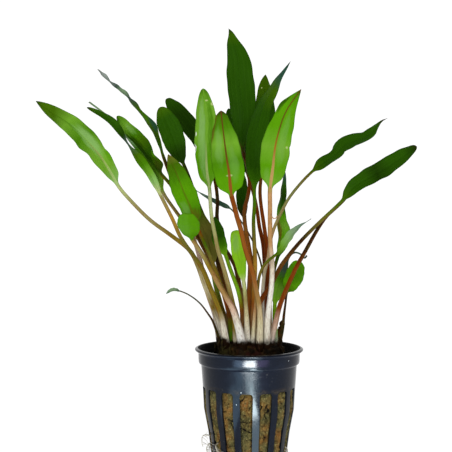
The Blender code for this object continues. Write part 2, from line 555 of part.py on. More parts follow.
def make_right_leaves(plant):
    make_leaf(plant, "leaf_right_wavy", "dark_leaf", base=(7.1, -0.5),
              stem=[(7.1, 69.2, -0.3), (6.9, 79.4, -0.2), (7, 87, 0), (8, 96.2, 0), (9.7, 103.3, 0),
                    (10.9, 112, 0), (13.2, 119.6, 1), (16.8, 127.3, 1.5), (20.4, 133.9, 2), (26, 141, 2),
                    (31.6, 146.8, 1)],
              blade=[(38.6, 152.4, -0.8), (44.2, 156.3, -2), (47.4, 159.9, -2.8), (53, 162.7, -4.5),
                     (57.9, 164.3, -6), (61.9, 166.7, -7.2), (64.7, 170, -8.2), (67.5, 172.9, -9.4),
                     (70.3, 174.5, -10.5)],
              width=8.6, face=(-0.35, -0.8, 0.5), stalk=(0.95, 0.75), fullness=0.5, taper=0.75, wave=0.5,
              waves=2.5, waist=(1.1, 0.31, 0.1))
    make_leaf(plant, "leaf_far_right", "dark_leaf", base=(4.3, -5.5),
              stem=[(3.6, 71.8, -5.3), (4.6, 77.9, -5), (6.6, 82.7, -4.5), (9.2, 86.5, -4.3),
                    (11.7, 90.6, -4.3), (14.3, 95.7, -4.5), (17.3, 100.8, -5), (26, 111.5, -6.5),
                    (36.1, 121.7, -8.5), (46.8, 131.8, -10.5)],
              blade=[(53.4, 139.5, -11.5), (60.7, 144.1, -12.5), (69.8, 149.2, -14),
                     (78, 154.7, -16), (85.4, 160.1, -18)],
              width=9.8, face=(-0.1, -0.85, 0.5), fullness=0.6, taper=0.5, stalk=(1.3, 0.85))
    make_leaf(plant, "leaf_far_right_back", "dark_leaf", base=(11.0, -3.4),
              stem=[(13.2, 69.2, -4.3), (15.8, 79.4, -6), (19.3, 88.1, -7.5), (23.9, 98.2, -8),
                    (29, 107.4, -7), (34.1, 116.6, -5.5), (39.2, 124.2, -3.5), (43.8, 128.5, -2),
                    (47.8, 132.3, 0)],
              blade=[(53.4, 139.2, 3), (59.6, 143, 6), (66.7, 146.8, 9), (74.8, 152.2, 12)],
              width=8.0, face=(-0.2, -0.6, 0.75), stalk=(1.3, 0.85))
    make_leaf(plant, "leaf_right_twisted", "dark_leaf", base=(10.4, 3.2),
              stem=[(10.7, 81.9, 3.5), (12.2, 94.7, 4), (14.3, 102.8, 5)],
              blade=[(16.3, 109, 6), (17.6, 116, 7), (16.3, 122.7, 8), (16, 127.8, 9),
                     (17.1, 135.4, 10.5), (17.8, 143, 12), (18.3, 150.2, 13.5)],
              width=7.0, face=(0.2, -0.95, 0), face_tip=(0.9, -0.3, 0), stalk=(1.2, 0.9),
              fullness=0.5, wave=0.4)
    make_leaf(plant, "leaf_right_grey", "grey_leaf", base=(2.0, -7.6),
              stem=[(3.3, 77.9, -8), (4.3, 87, -9.2), (5.3, 94.2, -11.8), (7.1, 98.7, -13.3),
                    (10.2, 102.3, -14.3), (13.2, 104.6, -15)],
              blade=[(16.3, 107.4, -15.7), (19.3, 112, -16.5), (21.9, 115.5, -17), (26, 119.6, -18),
                     (31.6, 123.4, -20)],
              width=6.2, face=(-0.5, -0.6, 0.6), stalk=(1.0, 0.7), taper=1.2)
    make_leaf(plant, "leaf_low_right_curled", "bright_leaf", base=(13.2, 1.0),
              stem=[(13.1, 70, 1.2), (13.1, 79, 1.5)],
              blade=[(14, 85.5, 2), (15.5, 92.1, 2.5), (17.6, 98.2, 3), (19.1, 102.8, 3.5),
                     (21.4, 105.4, 4), (23.9, 106.1, 4), (26.5, 105.1, 4), (28.2, 103.3, 4),
                     (29.5, 104.6, 4)],
              width=6.6, face=(0, -1, 0), stalk=(1.2, 1.0), fullness=0.8, taper=2.2)
    make_leaf(plant, "leaf_low_right_round", "bright_leaf", base=(15.6, -2.6),
              stem=[(17.1, 67.7, -2.6), (17.8, 74.3, -2.5), (18.6, 80.4, -2.3), (19.3, 85.5, -2)],
              blade=[(20.9, 89.6, -1.5), (23.2, 94.7, -1), (24.4, 98.7, -0.5), (25.2, 102, 0)],
              width=9.4, face=(0.1, -1, 0.2), stalk=(0.8, 0.55), fullness=0.5, taper=0.45)


def make_old_stub(plant):
    """The dead foot of a leaf that has rotted away, right of the crown."""
    make_leaf(plant, "old_leaf_stub", "crown", base=(14.8, 4.6),
              stem=[(15.6, 64.5, 4.4), (16.4, 68, 4.2)],
              blade=[(16.9, 70, 4.1), (17.3, 71.8, 4)],
              width=3.0, face=(0, -1, 0), stalk=(1.6, 1.2), fold=0.0)


# Roots that have come out through the slots

ROOTS = {
    "root_left_loop": [(-19.5, -4.7, 14.2), (-21.9, -5.4, 14.8), (-23.4, -5.8, 14.2), (-23.8, -5.9, 12.0),
                       (-23.6, -5.8, 10.0), (-23.2, -5.6, 8.8)],
    "root_left_low": [(-18.7, -5.2, 10.6), (-20.4, -6.8, 10.6), (-21.4, -7.8, 8.6), (-20.9, -8.0, 6.0),
                      (-20.2, -7.9, 3.4)],
    "root_front_left": [(-15.4, -11.8, 12.4), (-16.8, -13.0, 11.6), (-15.8, -14.3, 9.0),
                        (-12.7, -16.8, 6.4), (-9.7, -18.4, 4.4), (-7.0, -19.2, 2.2)],
    "root_right_low": [(17.4, -7.2, 9.4), (18.8, -8.2, 8.4), (18.9, -8.9, 6.0), (18.0, -9.4, 3.0)],
}
ROOT_RADIUS = 0.32


def make_root(collection, node, points):
    """A thin root as a tube along a smooth path."""
    path = SmoothPath([Vector(point) for point in points])
    count = 2 * len(points)
    curve = bpy.data.curves.new(node, "CURVE")
    curve.dimensions = "3D"
    curve.bevel_depth = ROOT_RADIUS * MM
    curve.bevel_resolution = 1
    curve.use_fill_caps = True
    line = curve.splines.new("POLY")
    line.points.add(count - 1)
    for i in range(count):
        place = path.place(path.at[-1] * i / (count - 1)) * MM
        line.points[i].co = (*place, 1.0)
    guide = bpy.data.objects.new(node + "_guide", curve)
    collection.objects.link(guide)
    bpy.context.view_layer.update()
    solid = guide.evaluated_get(bpy.context.evaluated_depsgraph_get())
    shape = bmesh.new()
    shape.from_mesh(bpy.data.meshes.new_from_object(solid))
    bmesh.ops.remove_doubles(shape, verts=shape.verts, dist=0.000001)
    bpy.data.objects.remove(guide, do_unlink=True)
    return finish(node, mesh_of(shape), "root", collection)


def main():
    clear_scene()
    plant = new_collection("potted_cryptocoryne")
    cutters = new_collection("cutters")
    make_pot(plant, cutters)
    make_wool(plant)
    make_crown(plant)
    make_left_leaves(plant)
    make_centre_leaves(plant)
    make_right_leaves(plant)
    make_old_stub(plant)
    for node, points in ROOTS.items():
        make_root(plant, node, points)


main()
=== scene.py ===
"""Potted cryptocoryne, seen as in its photograph.

The origin is the centre of the underside of the pot. +Z is up and -Y is the front.
Sizes below are in millimetres; the model is built in metres.
"""
import json
import math
import random

import bmesh
import bpy
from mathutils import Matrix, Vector, noise

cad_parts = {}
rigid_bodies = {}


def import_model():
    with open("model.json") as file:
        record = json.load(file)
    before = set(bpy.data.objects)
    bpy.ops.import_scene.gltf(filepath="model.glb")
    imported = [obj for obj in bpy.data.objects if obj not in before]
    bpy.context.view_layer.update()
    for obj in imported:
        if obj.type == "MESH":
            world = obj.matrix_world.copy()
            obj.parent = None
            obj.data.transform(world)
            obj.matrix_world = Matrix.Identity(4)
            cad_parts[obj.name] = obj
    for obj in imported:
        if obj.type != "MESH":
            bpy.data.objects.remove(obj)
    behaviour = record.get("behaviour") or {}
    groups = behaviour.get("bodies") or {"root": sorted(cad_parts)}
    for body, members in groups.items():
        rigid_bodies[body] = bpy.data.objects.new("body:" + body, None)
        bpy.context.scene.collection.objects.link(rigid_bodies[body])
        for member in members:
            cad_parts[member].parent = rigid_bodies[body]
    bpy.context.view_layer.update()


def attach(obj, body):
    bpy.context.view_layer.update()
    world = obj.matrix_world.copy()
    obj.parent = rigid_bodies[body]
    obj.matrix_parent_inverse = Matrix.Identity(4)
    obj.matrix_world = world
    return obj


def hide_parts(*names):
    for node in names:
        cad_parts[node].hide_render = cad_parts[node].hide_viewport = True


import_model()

MM = 0.001

# Pot: its walls are given as (radius, height)
POT_HEIGHT = 57.9
RIM_RADIUS = 27.5
LIP_HALF_WIDTH = 1.25
LIP_HALF_HEIGHT = 0.75
WALL = 1.2
FLOOR = 1.5
FLOOR_RADIUS = 16.5
BASE_RADIUS = 18.0
POT_STEPS = 180
# Edges are sharp from this angle, in degrees
SHARP_FROM = 38.0
COLLAR_INSIDE = [(23.1, 50.1), (24.3, 51.9), (24.9, 55.8)]
COLLAR = [(25.75, 55.5), (25.7, 52.4), (25.6, 51.0), (25.45, 50.5), (25.1, 50.25)]
BODY_WALL = [(24.3, 49.6), (23.4, 37.0), (22.9, 27.5), (20.7, 16.0), (19.2, 4.6), (18.6, 1.0)]
# Pale specks that stick to its outside
SPECKS = [(-4.5, -23.1, 39.6), (-6.7, -22.3, 33.6), (18.7, -17.5, 53.9)]
SLOT_COUNT = 15
SLOT_TOP = 38.8
SLOT_BOTTOM = 4.2
SLOT_WIDTH_TOP = 6.5
SLOT_WIDTH_BOTTOM = 4.9
SLOT_CORNER = 1.6
# The slots are cut between these radii
SLOT_CUT = (14.0, 30.0)
RIB_TURN = 7.0
SLOT_TURN = 180.0 + RIB_TURN + 180.0 / SLOT_COUNT

# Gap that keeps the wool off the pot, and the leaves off the crown's highest place
GAP = 0.3

# Rock wool
WOOL_TOP = 49.0
WOOL_EDGE_RADIUS = 22.2
WOOL_EDGE_DROP = 1.2
WOOL_ROUND = 420
WOOL_UP = 136
WOOL_TOP_RINGS = 24
WOOL_FIBRES = 1300
# The plug stays inside a pot of this radius, narrows below its foot's height, and has its top above
# its shoulder's
WOOL_WIDEST = 24.0
WOOL_FOOT = 6.0
WOOL_FOOT_NARROWING = 2.2
WOOL_SHOULDER = 40.0
# How far it swells into the slots, and the share of its lumps that is left behind the ribs
WOOL_SWELL = 0.95
WOOL_BEHIND_RIBS = 0.15

# Crown
CROWN_TOP = 60.2
CROWN_HALF_WIDTH = 17.2
CROWN_HALF_DEPTH = 13.4
# Swells round it: share of its width, how many, where they start and how far they twist on the way up
CROWN_SWELLS = [(0.055, 3.0, 1.3, 2.0), (0.035, 7.0, -0.8, 3.5)]
CROWN_STEEPNESS = 1.18
CROWN_FLATNESS = 0.62
CROWN_NARROWING = 0.12
CROWN_SINK = 0.6
CROWN_ROUGHNESS = 0.7
CROWN_RIDGES = 0.8
CROWN_ROUND = 120
CROWN_RINGS = 49
CROWN_RAGS = 70
RAG_TOP = 63.5
# Middles of its reddish and its olive part
CROWN_RED = (-2.0, -13.0, 58.0)
CROWN_OLIVE = (-13.0, -8.0, 57.0)

# Front viewpoint
VIEW_ACROSS = -11.7
VIEW_UP = 119.6
VIEW_DISTANCE = 400.0
VIEW_LENS = 62.6

# Leaves: their given depths grow by this share between two heights
SPREAD = 0.8
SPREAD_FROM = 75.0
SPREAD_TO = 175.0
PETIOLE_RINGS = 34
BLADE_RINGS = 54
NECK_SHARE = 0.12
# The midrib below a blade, and the furrow above it
MIDRIB = 0.55
MIDRIB_THINNING = 0.75
MIDRIB_HALF_WIDTH = 0.75
FURROW = 0.16
FURROW_HALF_WIDTH = 0.45
# Half a blade's thickness at its edge, and how much more it is at its middle
EDGE_THICKNESS = 0.07
MIDDLE_THICKENING = 0.1
PETIOLE_GROOVE = 0.22
LEAST_HALF_WIDTH = 0.12
WAVE_TURN = 0.15
LOOK_AHEAD = 0.05
# A petiole starts this far down inside the crown, and its foot is a broad sheath this high
FOOT_DEPTH = 3.0
SHEATH_HEIGHT = 24.0
SHEATH_BREADTH = 0.4
# Columns of points across half a blade, closer together at the midrib and at two side veins
COLUMNS = [0.0, 0.05, 0.1, 0.18, 0.27, 0.33, 0.37, 0.41, 0.5, 0.59, 0.64, 0.68, 0.72, 0.81, 0.9, 0.96, 1.0]
SIDE_VEINS = (0.37, 0.68)
VEIN_HALF_WIDTH = 0.025
VEIN_FURROW = 0.04
VEIN_RIDGE = 0.07
# Half width of the midrib's colour at the tip
RIB_TIP = 0.3
# Half the gap that keeps the two halves of a petiole's section apart at its sides
SLIVER = 0.04

# Roots that have come out through the slots
ROOTS = {
    "root_left_loop": [(-19.5, -4.7, 14.2), (-21.9, -5.4, 14.8), (-23.4, -5.8, 14.2), (-23.8, -5.9, 12.0),
                       (-23.6, -5.8, 10.0), (-23.2, -5.6, 8.8)],
    "root_left_low": [(-18.7, -5.2, 10.6), (-20.4, -6.8, 10.6), (-21.4, -7.8, 8.6), (-20.9, -8.0, 6.0),
                      (-20.2, -7.9, 3.4)],
    "root_front_left": [(-15.4, -11.8, 12.4), (-16.8, -13.0, 11.6), (-15.8, -14.3, 9.0),
                        (-12.7, -16.8, 6.4), (-9.7, -18.4, 4.4), (-7.0, -19.2, 2.2)],
    "root_right_low": [(17.4, -7.2, 9.4), (18.8, -8.2, 8.4), (18.9, -8.9, 6.0), (18.0, -9.4, 3.0)],
}
ROOT_RINGS = 29
ROOT_RADIUS = 0.3
ROOT_THINNING = 0.6
ROOT_HAIRS = 22
FEW_HAIRS = 7

# Colours as seen, in display values. The sheen colour is a painted highlight, the pale glint of light on a
# glossy leaf.
COLOURS = {
    "white": (232, 230, 222), "cream": (206, 196, 156), "pink": (208, 176, 152), "tan": (184, 140, 92),
    "gold": (168, 126, 44), "orange": (156, 90, 30), "rust": (122, 52, 10), "brown": (92, 58, 20),
    "umber": (44, 28, 12), "olive": (108, 104, 40), "khaki": (146, 136, 84), "pale": (176, 188, 124),
    "leafy": (104, 154, 40), "bright": (82, 144, 6), "grass": (68, 122, 6), "moss": (62, 98, 4),
    "dark": (38, 78, 4), "deep": (26, 54, 2), "teal": (40, 78, 60), "grey": (98, 126, 106),
    "sheen": (128, 172, 92), "lime": (124, 180, 30), "silver": (128, 156, 118), "ink": (30, 34, 16),
    "sage": (126, 132, 76), "silk": (186, 196, 150), "foot": (222, 216, 198),
    "blush": (222, 192, 176), "brass": (128, 108, 32), "slate": (66, 84, 72),
    "sand": (154, 122, 72), "sienna": (134, 76, 28), "ash": (150, 160, 152),
}


def colour(given):
    """A colour's name, or its display values (0 to 255), as scene-linear colour."""
    def one(value):
        value /= 255.0
        return value / 12.92 if value <= 0.04045 else ((value + 0.055) / 1.055) ** 2.4
    return (*(one(value) for value in COLOURS.get(given, given)), 1.0)


def spread(names, low, high):
    """Stops of a ramp: colours by name, evenly spaced from low to high."""
    names = names.split()
    return [(low + (high - low) * i / (len(names) - 1), name) for i, name in enumerate(names)]


class Wire:
    """The output of a node in a material; sums, products and the like of it are further nodes."""

    def __init__(self, paint, socket):
        self.paint, self.socket = paint, socket

    def __add__(self, other):
        return self.paint.math("ADD", self, other)

    def __sub__(self, other):
        return self.paint.math("SUBTRACT", self, other)

    def __rsub__(self, other):
        return self.paint.math("SUBTRACT", other, self)

    def __mul__(self, other):
        return self.paint.math("MULTIPLY", self, other)

    def __pow__(self, other):
        return self.paint.math("POWER", self, other)

    def __abs__(self):
        return self.paint.math("ABSOLUTE", self)

    def step(self, low, high, first=0.0, last=1.0):
        """A smooth step from first to last as this goes from low to high."""
        return self.paint.node("MapRange", self, low, high, first, last, interpolation_type="SMOOTHSTEP")


class Paint:
    """A material, the few kinds of node that paint it, and its base colour so far."""

    def __init__(self, name, specular):
        self.material = bpy.data.materials.new(name)
        self.material.use_nodes = True
        self.tree = self.material.node_tree
        self.shader = self.tree.nodes["Principled BSDF"]
        self.base = None
        self.put("Specular IOR Level", specular)

    def put(self, socket, value):
        """Fills a socket, or the shader's socket of that name, unless the value is None."""
        if isinstance(socket, str):
            socket = self.shader.inputs[socket]
        if isinstance(value, Wire):
            self.tree.links.new(value.socket, socket)
        elif value is not None:
            socket.default_value = value

    def node(self, kind, *values, output=0, **settings):
        """One output of a new node whose first inputs are filled in order."""
        node = self.tree.nodes.new("ShaderNode" + kind)
        for key, value in settings.items():
            setattr(node, key, value)
        for socket, value in zip(node.inputs, values):
            self.put(socket, value)
        return Wire(self, node.outputs[output])

    def math(self, operation, *values):
        return self.node("Math", *values, operation=operation)

    def noise(self, vector, scale, detail=3.0, roughness=0.5):
        return self.node("TexNoise", vector, None, scale, detail, roughness)

    def place(self):
        return self.node("TexCoord", output="Object")

    def attribute(self, name):
        return self.node("Attribute", output="Vector", attribute_type="GEOMETRY", attribute_name=name)

    def apart(self, vector, place):
        """Distance from a place given in millimetres."""
        return self.node("VectorMath", vector, Vector(place) * MM, output="Value", operation="DISTANCE")

    def joined(self, x, y, z):
        return self.node("CombineXYZ", x, y, z)

    def parts(self, vector):
        first = self.node("SeparateXYZ", vector)
        return [Wire(self, socket) for socket in first.socket.node.outputs]

    def mix(self, factor, first, second, blend="MIX"):
        return self.node("Mix", factor, *[None] * 5, first, second, output=2, data_type="RGBA",
                         blend_type=blend)

    def cover(self, given, amount):
        """Lays a colour over the base."""
        self.base = self.mix(amount, self.base, colour(given))

    def ramp(self, factor, stops):
        ramp = self.node("ValToRGB", factor)
        elements = ramp.socket.node.color_ramp.elements
        elements.remove(elements[1])
        elements[0].position, elements[0].color = stops[0][0], colour(stops[0][1])
        for position, given in stops[1:]:
            elements.new(position).color = colour(given)
        return ramp

    def finish(self, roughness, height=None, distance=0.0):
        """The material with its base, its roughness and a bump of this distance in millimetres."""
        self.put("Base Color", self.base)
        self.put("Roughness", roughness)
        if height:
            self.put("Normal", self.node("Bump", 1.0, distance * MM, None, height))
        return self.material


def smoothed(mesh):
    """The mesh, with its faces turned outwards and smooth."""
    shape = bmesh.new()
    shape.from_mesh(mesh)
    bmesh.ops.recalc_face_normals(shape, faces=shape.faces)
    shape.to_mesh(mesh)
    shape.free()
    mesh.shade_smooth()
    return mesh


class Body:
    """Points and faces of one mesh, built from closed parts."""

    def __init__(self):
        self.points = []
        self.faces = []

    def loft(self, rings):
        """A closed part through rings of as many points each."""
        start, count = len(self.points), len(rings[0])
        for ring in rings:
            self.points.extend(ring)
        for low in range(start, len(self.points) - count, count):
            for i in range(count):
                j = (i + 1) % count
                self.faces.append((low + i, low + j, low + count + j, low + count + i))
        self.faces.append(tuple(range(start, start + count))[::-1])
        self.faces.append(tuple(range(len(self.points) - count, len(self.points))))

    def tube(self, places, radii, sides):
        """A round tube along places, with a radius at each."""
        rings = []
        for i, (place, radius) in enumerate(zip(places, radii)):
            along = (places[min(i + 1, len(places) - 1)] - places[max(i - 1, 0)]).normalized()
            guide = Vector((0, 0, 1)) if abs(along.z) < 0.9 else Vector((1, 0, 0))
            side = along.cross(guide).normalized()
            up = side.cross(along)
            turns = [2 * math.pi * k / sides for k in range(sides)]
            rings.append([place + (side * math.cos(turn) + up * math.sin(turn)) * radius for turn in turns])
        self.loft(rings)

    def mesh(self, name):
        mesh = bpy.data.meshes.new(name)
        mesh.from_pydata([point * MM for point in self.points], [], self.faces)
        return smoothed(mesh)


def add(name, data, home=None):
    """A new object in the scene, or in another collection."""
    thing = bpy.data.objects.new(name, data)
    (home or bpy.context.scene.collection).objects.link(thing)
    return thing


def show(name, mesh, material, slot, *nodes):
    """A shown piece that takes the place of CAD nodes."""
    mesh.materials.append(material)
    thing = add(name, mesh)
    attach(thing, "root")
    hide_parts(*nodes)
    return thing


def note(mesh, name, values):
    """A vector kept at each point of a mesh for its paint."""
    attribute = mesh.attributes.new(name, "FLOAT_VECTOR", "POINT")
    attribute.data.foreach_set("vector", [part for value in values for part in value])


def ease(t):
    t = min(max(t, 0.0), 1.0)
    return t * t * (3.0 - 2.0 * t)


def bell(x):
    return math.exp(-x * x)


def around(reach, angle, height):
    return Vector((reach * math.cos(angle), reach * math.sin(angle), height))


# Pot

def pot_profile():
    inside = [(0.0, FLOOR), (FLOOR_RADIUS, FLOOR)]
    inside += [(radius - WALL, height) for radius, height in reversed(BODY_WALL[1:-1])]
    lip = []
    for degrees in range(170, -50, -11):
        angle = math.radians(degrees)
        lip.append((RIM_RADIUS - LIP_HALF_WIDTH + LIP_HALF_WIDTH * math.cos(angle),
                    POT_HEIGHT - LIP_HALF_HEIGHT + LIP_HALF_HEIGHT * math.sin(angle)))
    base = [(BASE_RADIUS + 0.4, 0.2), (BASE_RADIUS, 0.0), (0.0, 0.0)]
    return inside + COLLAR_INSIDE + lip + COLLAR + BODY_WALL + base


def slot_outline():
    corners = [(SLOT_WIDTH_TOP / 2, SLOT_TOP, 0.0), (-SLOT_WIDTH_TOP / 2, SLOT_TOP, 90.0),
               (-SLOT_WIDTH_BOTTOM / 2, SLOT_BOTTOM, 180.0), (SLOT_WIDTH_BOTTOM / 2, SLOT_BOTTOM, 270.0)]
    outline = []
    for across, height, start in corners:
        across -= math.copysign(SLOT_CORNER, across)
        height += SLOT_CORNER if start >= 180.0 else -SLOT_CORNER
        for step in range(6):
            corner = around(SLOT_CORNER, math.radians(start + 18.0 * step), 0.0)
            outline.append((across + corner.x, height + corner.y))
    return outline


def pot_mesh():
    profile = [(radius * MM, 0.0, height * MM) for radius, height in pot_profile()]
    mesh = bpy.data.meshes.new("pot_profile")
    mesh.from_pydata(profile, [(i, i + 1) for i in range(len(profile) - 1)], [])
    turned = add("pot_turned", mesh)
    screw = turned.modifiers.new("turned", "SCREW")
    screw.steps = screw.render_steps = POT_STEPS
    screw.use_merge_vertices = True
    screw.merge_threshold = 0.00002
    cutters = bpy.data.collections.new("cutters")
    bpy.context.scene.collection.children.link(cutters)
    for index in range(SLOT_COUNT):
        turn = math.radians(SLOT_TURN + index * 360.0 / SLOT_COUNT)
        body = Body()
        body.loft([[Vector((across * math.cos(turn) - radius * math.sin(turn),
                            across * math.sin(turn) + radius * math.cos(turn), height))
                    for across, height in slot_outline()] for radius in SLOT_CUT])
        add("cutter", body.mesh("cutter"), cutters)
    slots = turned.modifiers.new("slots", "BOOLEAN")
    slots.operation = "DIFFERENCE"
    slots.operand_type = "COLLECTION"
    slots.collection = cutters
    slots.solver = "EXACT"
    bpy.context.view_layer.update()
    made = bpy.data.meshes.new_from_object(turned.evaluated_get(bpy.context.evaluated_depsgraph_get()))
    for thing in [*cutters.objects, turned]:
        bpy.data.objects.remove(thing, do_unlink=True)
    bpy.data.collections.remove(cutters)
    made.materials.clear()
    smoothed(made).set_sharp_from_angle(angle=math.radians(SHARP_FROM))
    return made


def pot_paint():
    paint = Paint("pot_plastic", 0.13)
    place = paint.place()
    haze = paint.noise(place, 130.0, 4.0, 0.6)
    paint.base = paint.mix(haze.step(0.5, 0.8, 0.0, 0.3), colour((4, 6, 12)), colour((10, 14, 23)))
    paint.cover((110, 105, 95), paint.noise(place, 900.0, 5.0, 0.7).step(0.62, 0.75) * 0.15)
    x, y, height = paint.parts(place)
    over_slots = abs(height - (SLOT_TOP + 0.6) * MM)
    paint.cover((72, 56, 30), over_slots.step(0.002, 0.0) * haze.step(0.45, 0.65) * 0.15)
    for speck in SPECKS:
        paint.cover((130, 130, 128), paint.apart(place, speck).step(0.0003, 0.00015))
    # Painted shade: the inner walls, whose faces look inwards, are darkened to near black; they are also
    # made rougher
    toward = paint.parts(paint.node("NewGeometry", output="Normal"))
    inside = (x * toward[0] + y * toward[1]).step(0.0, -0.006)
    paint.cover((4, 4, 4), inside)
    return paint.finish(haze.step(0.25, 0.75, 0.13, 0.22) + inside * 0.7, paint.noise(place, 320.0), 0.05)


# Rock wool

def wall_radius(height):
    """Outer radius of the pot's body at a height."""
    for (wide, high), (narrow, low) in zip(BODY_WALL, BODY_WALL[1:]):
        if height >= low:
            return narrow + (wide - narrow) * min(1.0, (height - low) / (high - low))
    return BODY_WALL[-1][0]


def slot_share(angle, height):
    """1 in the middle of a slot, 0 at its edges and behind the ribs."""
    step = 2 * math.pi / SLOT_COUNT
    turn = math.radians(SLOT_TURN + 90.0)
    off = (angle - turn + step / 2) % step - step / 2
    width = SLOT_WIDTH_BOTTOM + (SLOT_WIDTH_TOP - SLOT_WIDTH_BOTTOM) * (height - SLOT_BOTTOM) / (
        SLOT_TOP - SLOT_BOTTOM)
    across = abs(off) * wall_radius(height) / (width / 2)
    up = min(SLOT_TOP - height, height - SLOT_BOTTOM) / 2.0
    return ease(3.0 * (1.0 - across)) * ease(up)


def wool_lumps(place):
    """How far the wool stands out (up to about 1) or sinks in at a place in millimetres."""
    lumps = noise.fractal(place * 0.22, 1.0, 2.0, 3)
    strands = noise.fractal(Vector((place.x * 0.9, place.y * 0.9, place.z * 0.45)), 0.9, 2.0, 4)
    crevices = abs(noise.noise(place * 0.24 + Vector((7, 3, 1))))
    torn = min(1.0, max(0.0, 5.0 * noise.noise(place * 0.13 + Vector((2, 5, 8)))))
    return 0.6 * lumps + 0.5 * strands - 1.3 * torn * max(0.0, 0.1 - crevices) / 0.1


def wool_place(radius, angle, height):
    """A point of the plug and its depth; a radius of None is at the pot's wall."""
    if radius is None:
        reach = min(wall_radius(height), WOOL_WIDEST) - WALL - GAP
        if height < WOOL_FOOT:
            reach -= WOOL_FOOT_NARROWING * ease((WOOL_FOOT - height) / 5.0)
        out = wool_lumps(around(reach, angle, height))
        open_share = slot_share(angle, height)
        reach += min(out, 0.3) * (WOOL_BEHIND_RIBS + (1.0 - WOOL_BEHIND_RIBS) * open_share)
        reach += WOOL_SWELL * open_share
        return around(reach, angle, height), out
    place = around(radius, angle, height)
    if height <= WOOL_SHOULDER:
        return place, 0.0
    out = wool_lumps(place) if radius > 0.5 else 0.0
    return place + Vector((0, 0, min(out, 0.3) * 0.8 - 0.2)), out


def wool_mesh():
    """Side, foot and top of the plug as one closed form, and fibres on it."""
    foot = FLOOR + GAP
    profile = [(radius, foot) for radius in (0.05, 6.0, 11.0, 15.0)]
    profile += [(None, foot + 0.2 + (WOOL_TOP - 1.4 - foot) * i / WOOL_UP) for i in range(WOOL_UP + 1)]
    for i in range(1, WOOL_TOP_RINGS):
        left = 1.0 - i / WOOL_TOP_RINGS
        profile.append((WOOL_EDGE_RADIUS * left + 0.05, WOOL_TOP - WOOL_EDGE_DROP * left ** 6))
    rings, depths = [], []
    for radius, height in profile:
        made = [wool_place(radius, 2 * math.pi * k / WOOL_ROUND, height) for k in range(WOOL_ROUND)]
        rings.append([place for place, _ in made])
        depths += [depth for _, depth in made]
    body = Body()
    body.loft(rings)
    chance = random.Random("fibres")
    for _ in range(WOOL_FIBRES):
        height = chance.uniform(5.0, 36.0)
        slot = chance.randrange(SLOT_COUNT)
        angle = math.radians(SLOT_TURN + 90.0 + slot * 360.0 / SLOT_COUNT + chance.gauss(0.0, 4.2))
        lean = chance.gauss(0.0, 0.9)
        length = chance.uniform(1.6, 4.5)
        bend = chance.gauss(0.0, 0.5)
        places = []
        for i in range(5):
            t = i / 4.0 - 0.5
            at = height + length * t * math.cos(lean)
            turn = angle + (length * t * math.sin(lean) + bend * t * t) / 21.0
            reach = wall_radius(at) - WALL - 0.1 + 1.1 * slot_share(turn, at) - 0.9 * (2 * t) ** 2
            reach += 0.35 * noise.noise(around(9, turn, at * 0.8))
            places.append(around(reach, turn, at))
        thick = chance.uniform(0.05, 0.12)
        tone = chance.uniform(-0.2, 1.3)
        body.tube(places, [thick * 0.5, thick, thick, thick, thick * 0.4], 3)
        depths += [tone] * (len(body.points) - len(depths))
    mesh = body.mesh("fine_rock_wool")
    note(mesh, "wool", [(depth, 0.0, 0.0) for depth in depths])
    return mesh


def wool_paint():
    paint = Paint("rock_wool", 0.2)
    place = paint.place()
    paint.base = paint.ramp(paint.noise(place, 120.0, 3.0, 0.6), [
        (0.3, (62, 62, 36)), (0.42, (90, 86, 48)), (0.52, (104, 90, 48)), (0.6, (116, 88, 40)),
        (0.7, (128, 86, 38)), (0.78, (88, 82, 48))])
    paint.cover((178, 164, 104), paint.noise(place, 1300.0, 3.0, 0.7).step(0.52, 0.68) * 0.65)
    paint.cover((34, 26, 12), paint.noise(place, 800.0, 4.0, 0.7).step(0.5, 0.34) * 0.8)
    # Painted shade: the plug is darkened where its surface sinks into hollows and torn crevices; on the
    # fibres the same note is a random tone, so that some fibres are darker
    paint.cover((18, 14, 9), paint.parts(paint.attribute("wool"))[0].step(-0.1, -0.8))
    return paint.finish(0.9, paint.noise(place, 1500.0), 0.12)


# Crown

def crown_place(angle, level, out=0.0):
    """A place on the crown, from its foot (level -1) to its top (1), or out from there."""
    swell = 1.0 + sum(share * math.sin(lobes * angle + start + twist * level)
                      for share, lobes, start, twist in CROWN_SWELLS) - CROWN_NARROWING * max(level, 0.0)
    reach = min(1.0, math.sqrt(max(0.0, 1.0 - level * level)) * CROWN_STEEPNESS) * swell
    bottom = WOOL_TOP - CROWN_SINK
    height = bottom + (CROWN_TOP - bottom) * min(1.0, max(0.0, 0.5 + CROWN_FLATNESS * level))
    place = Vector((reach * math.cos(angle) * CROWN_HALF_WIDTH,
                    reach * math.sin(angle) * CROWN_HALF_DEPTH, height))
    return place + around(1, angle, 0.6) * out


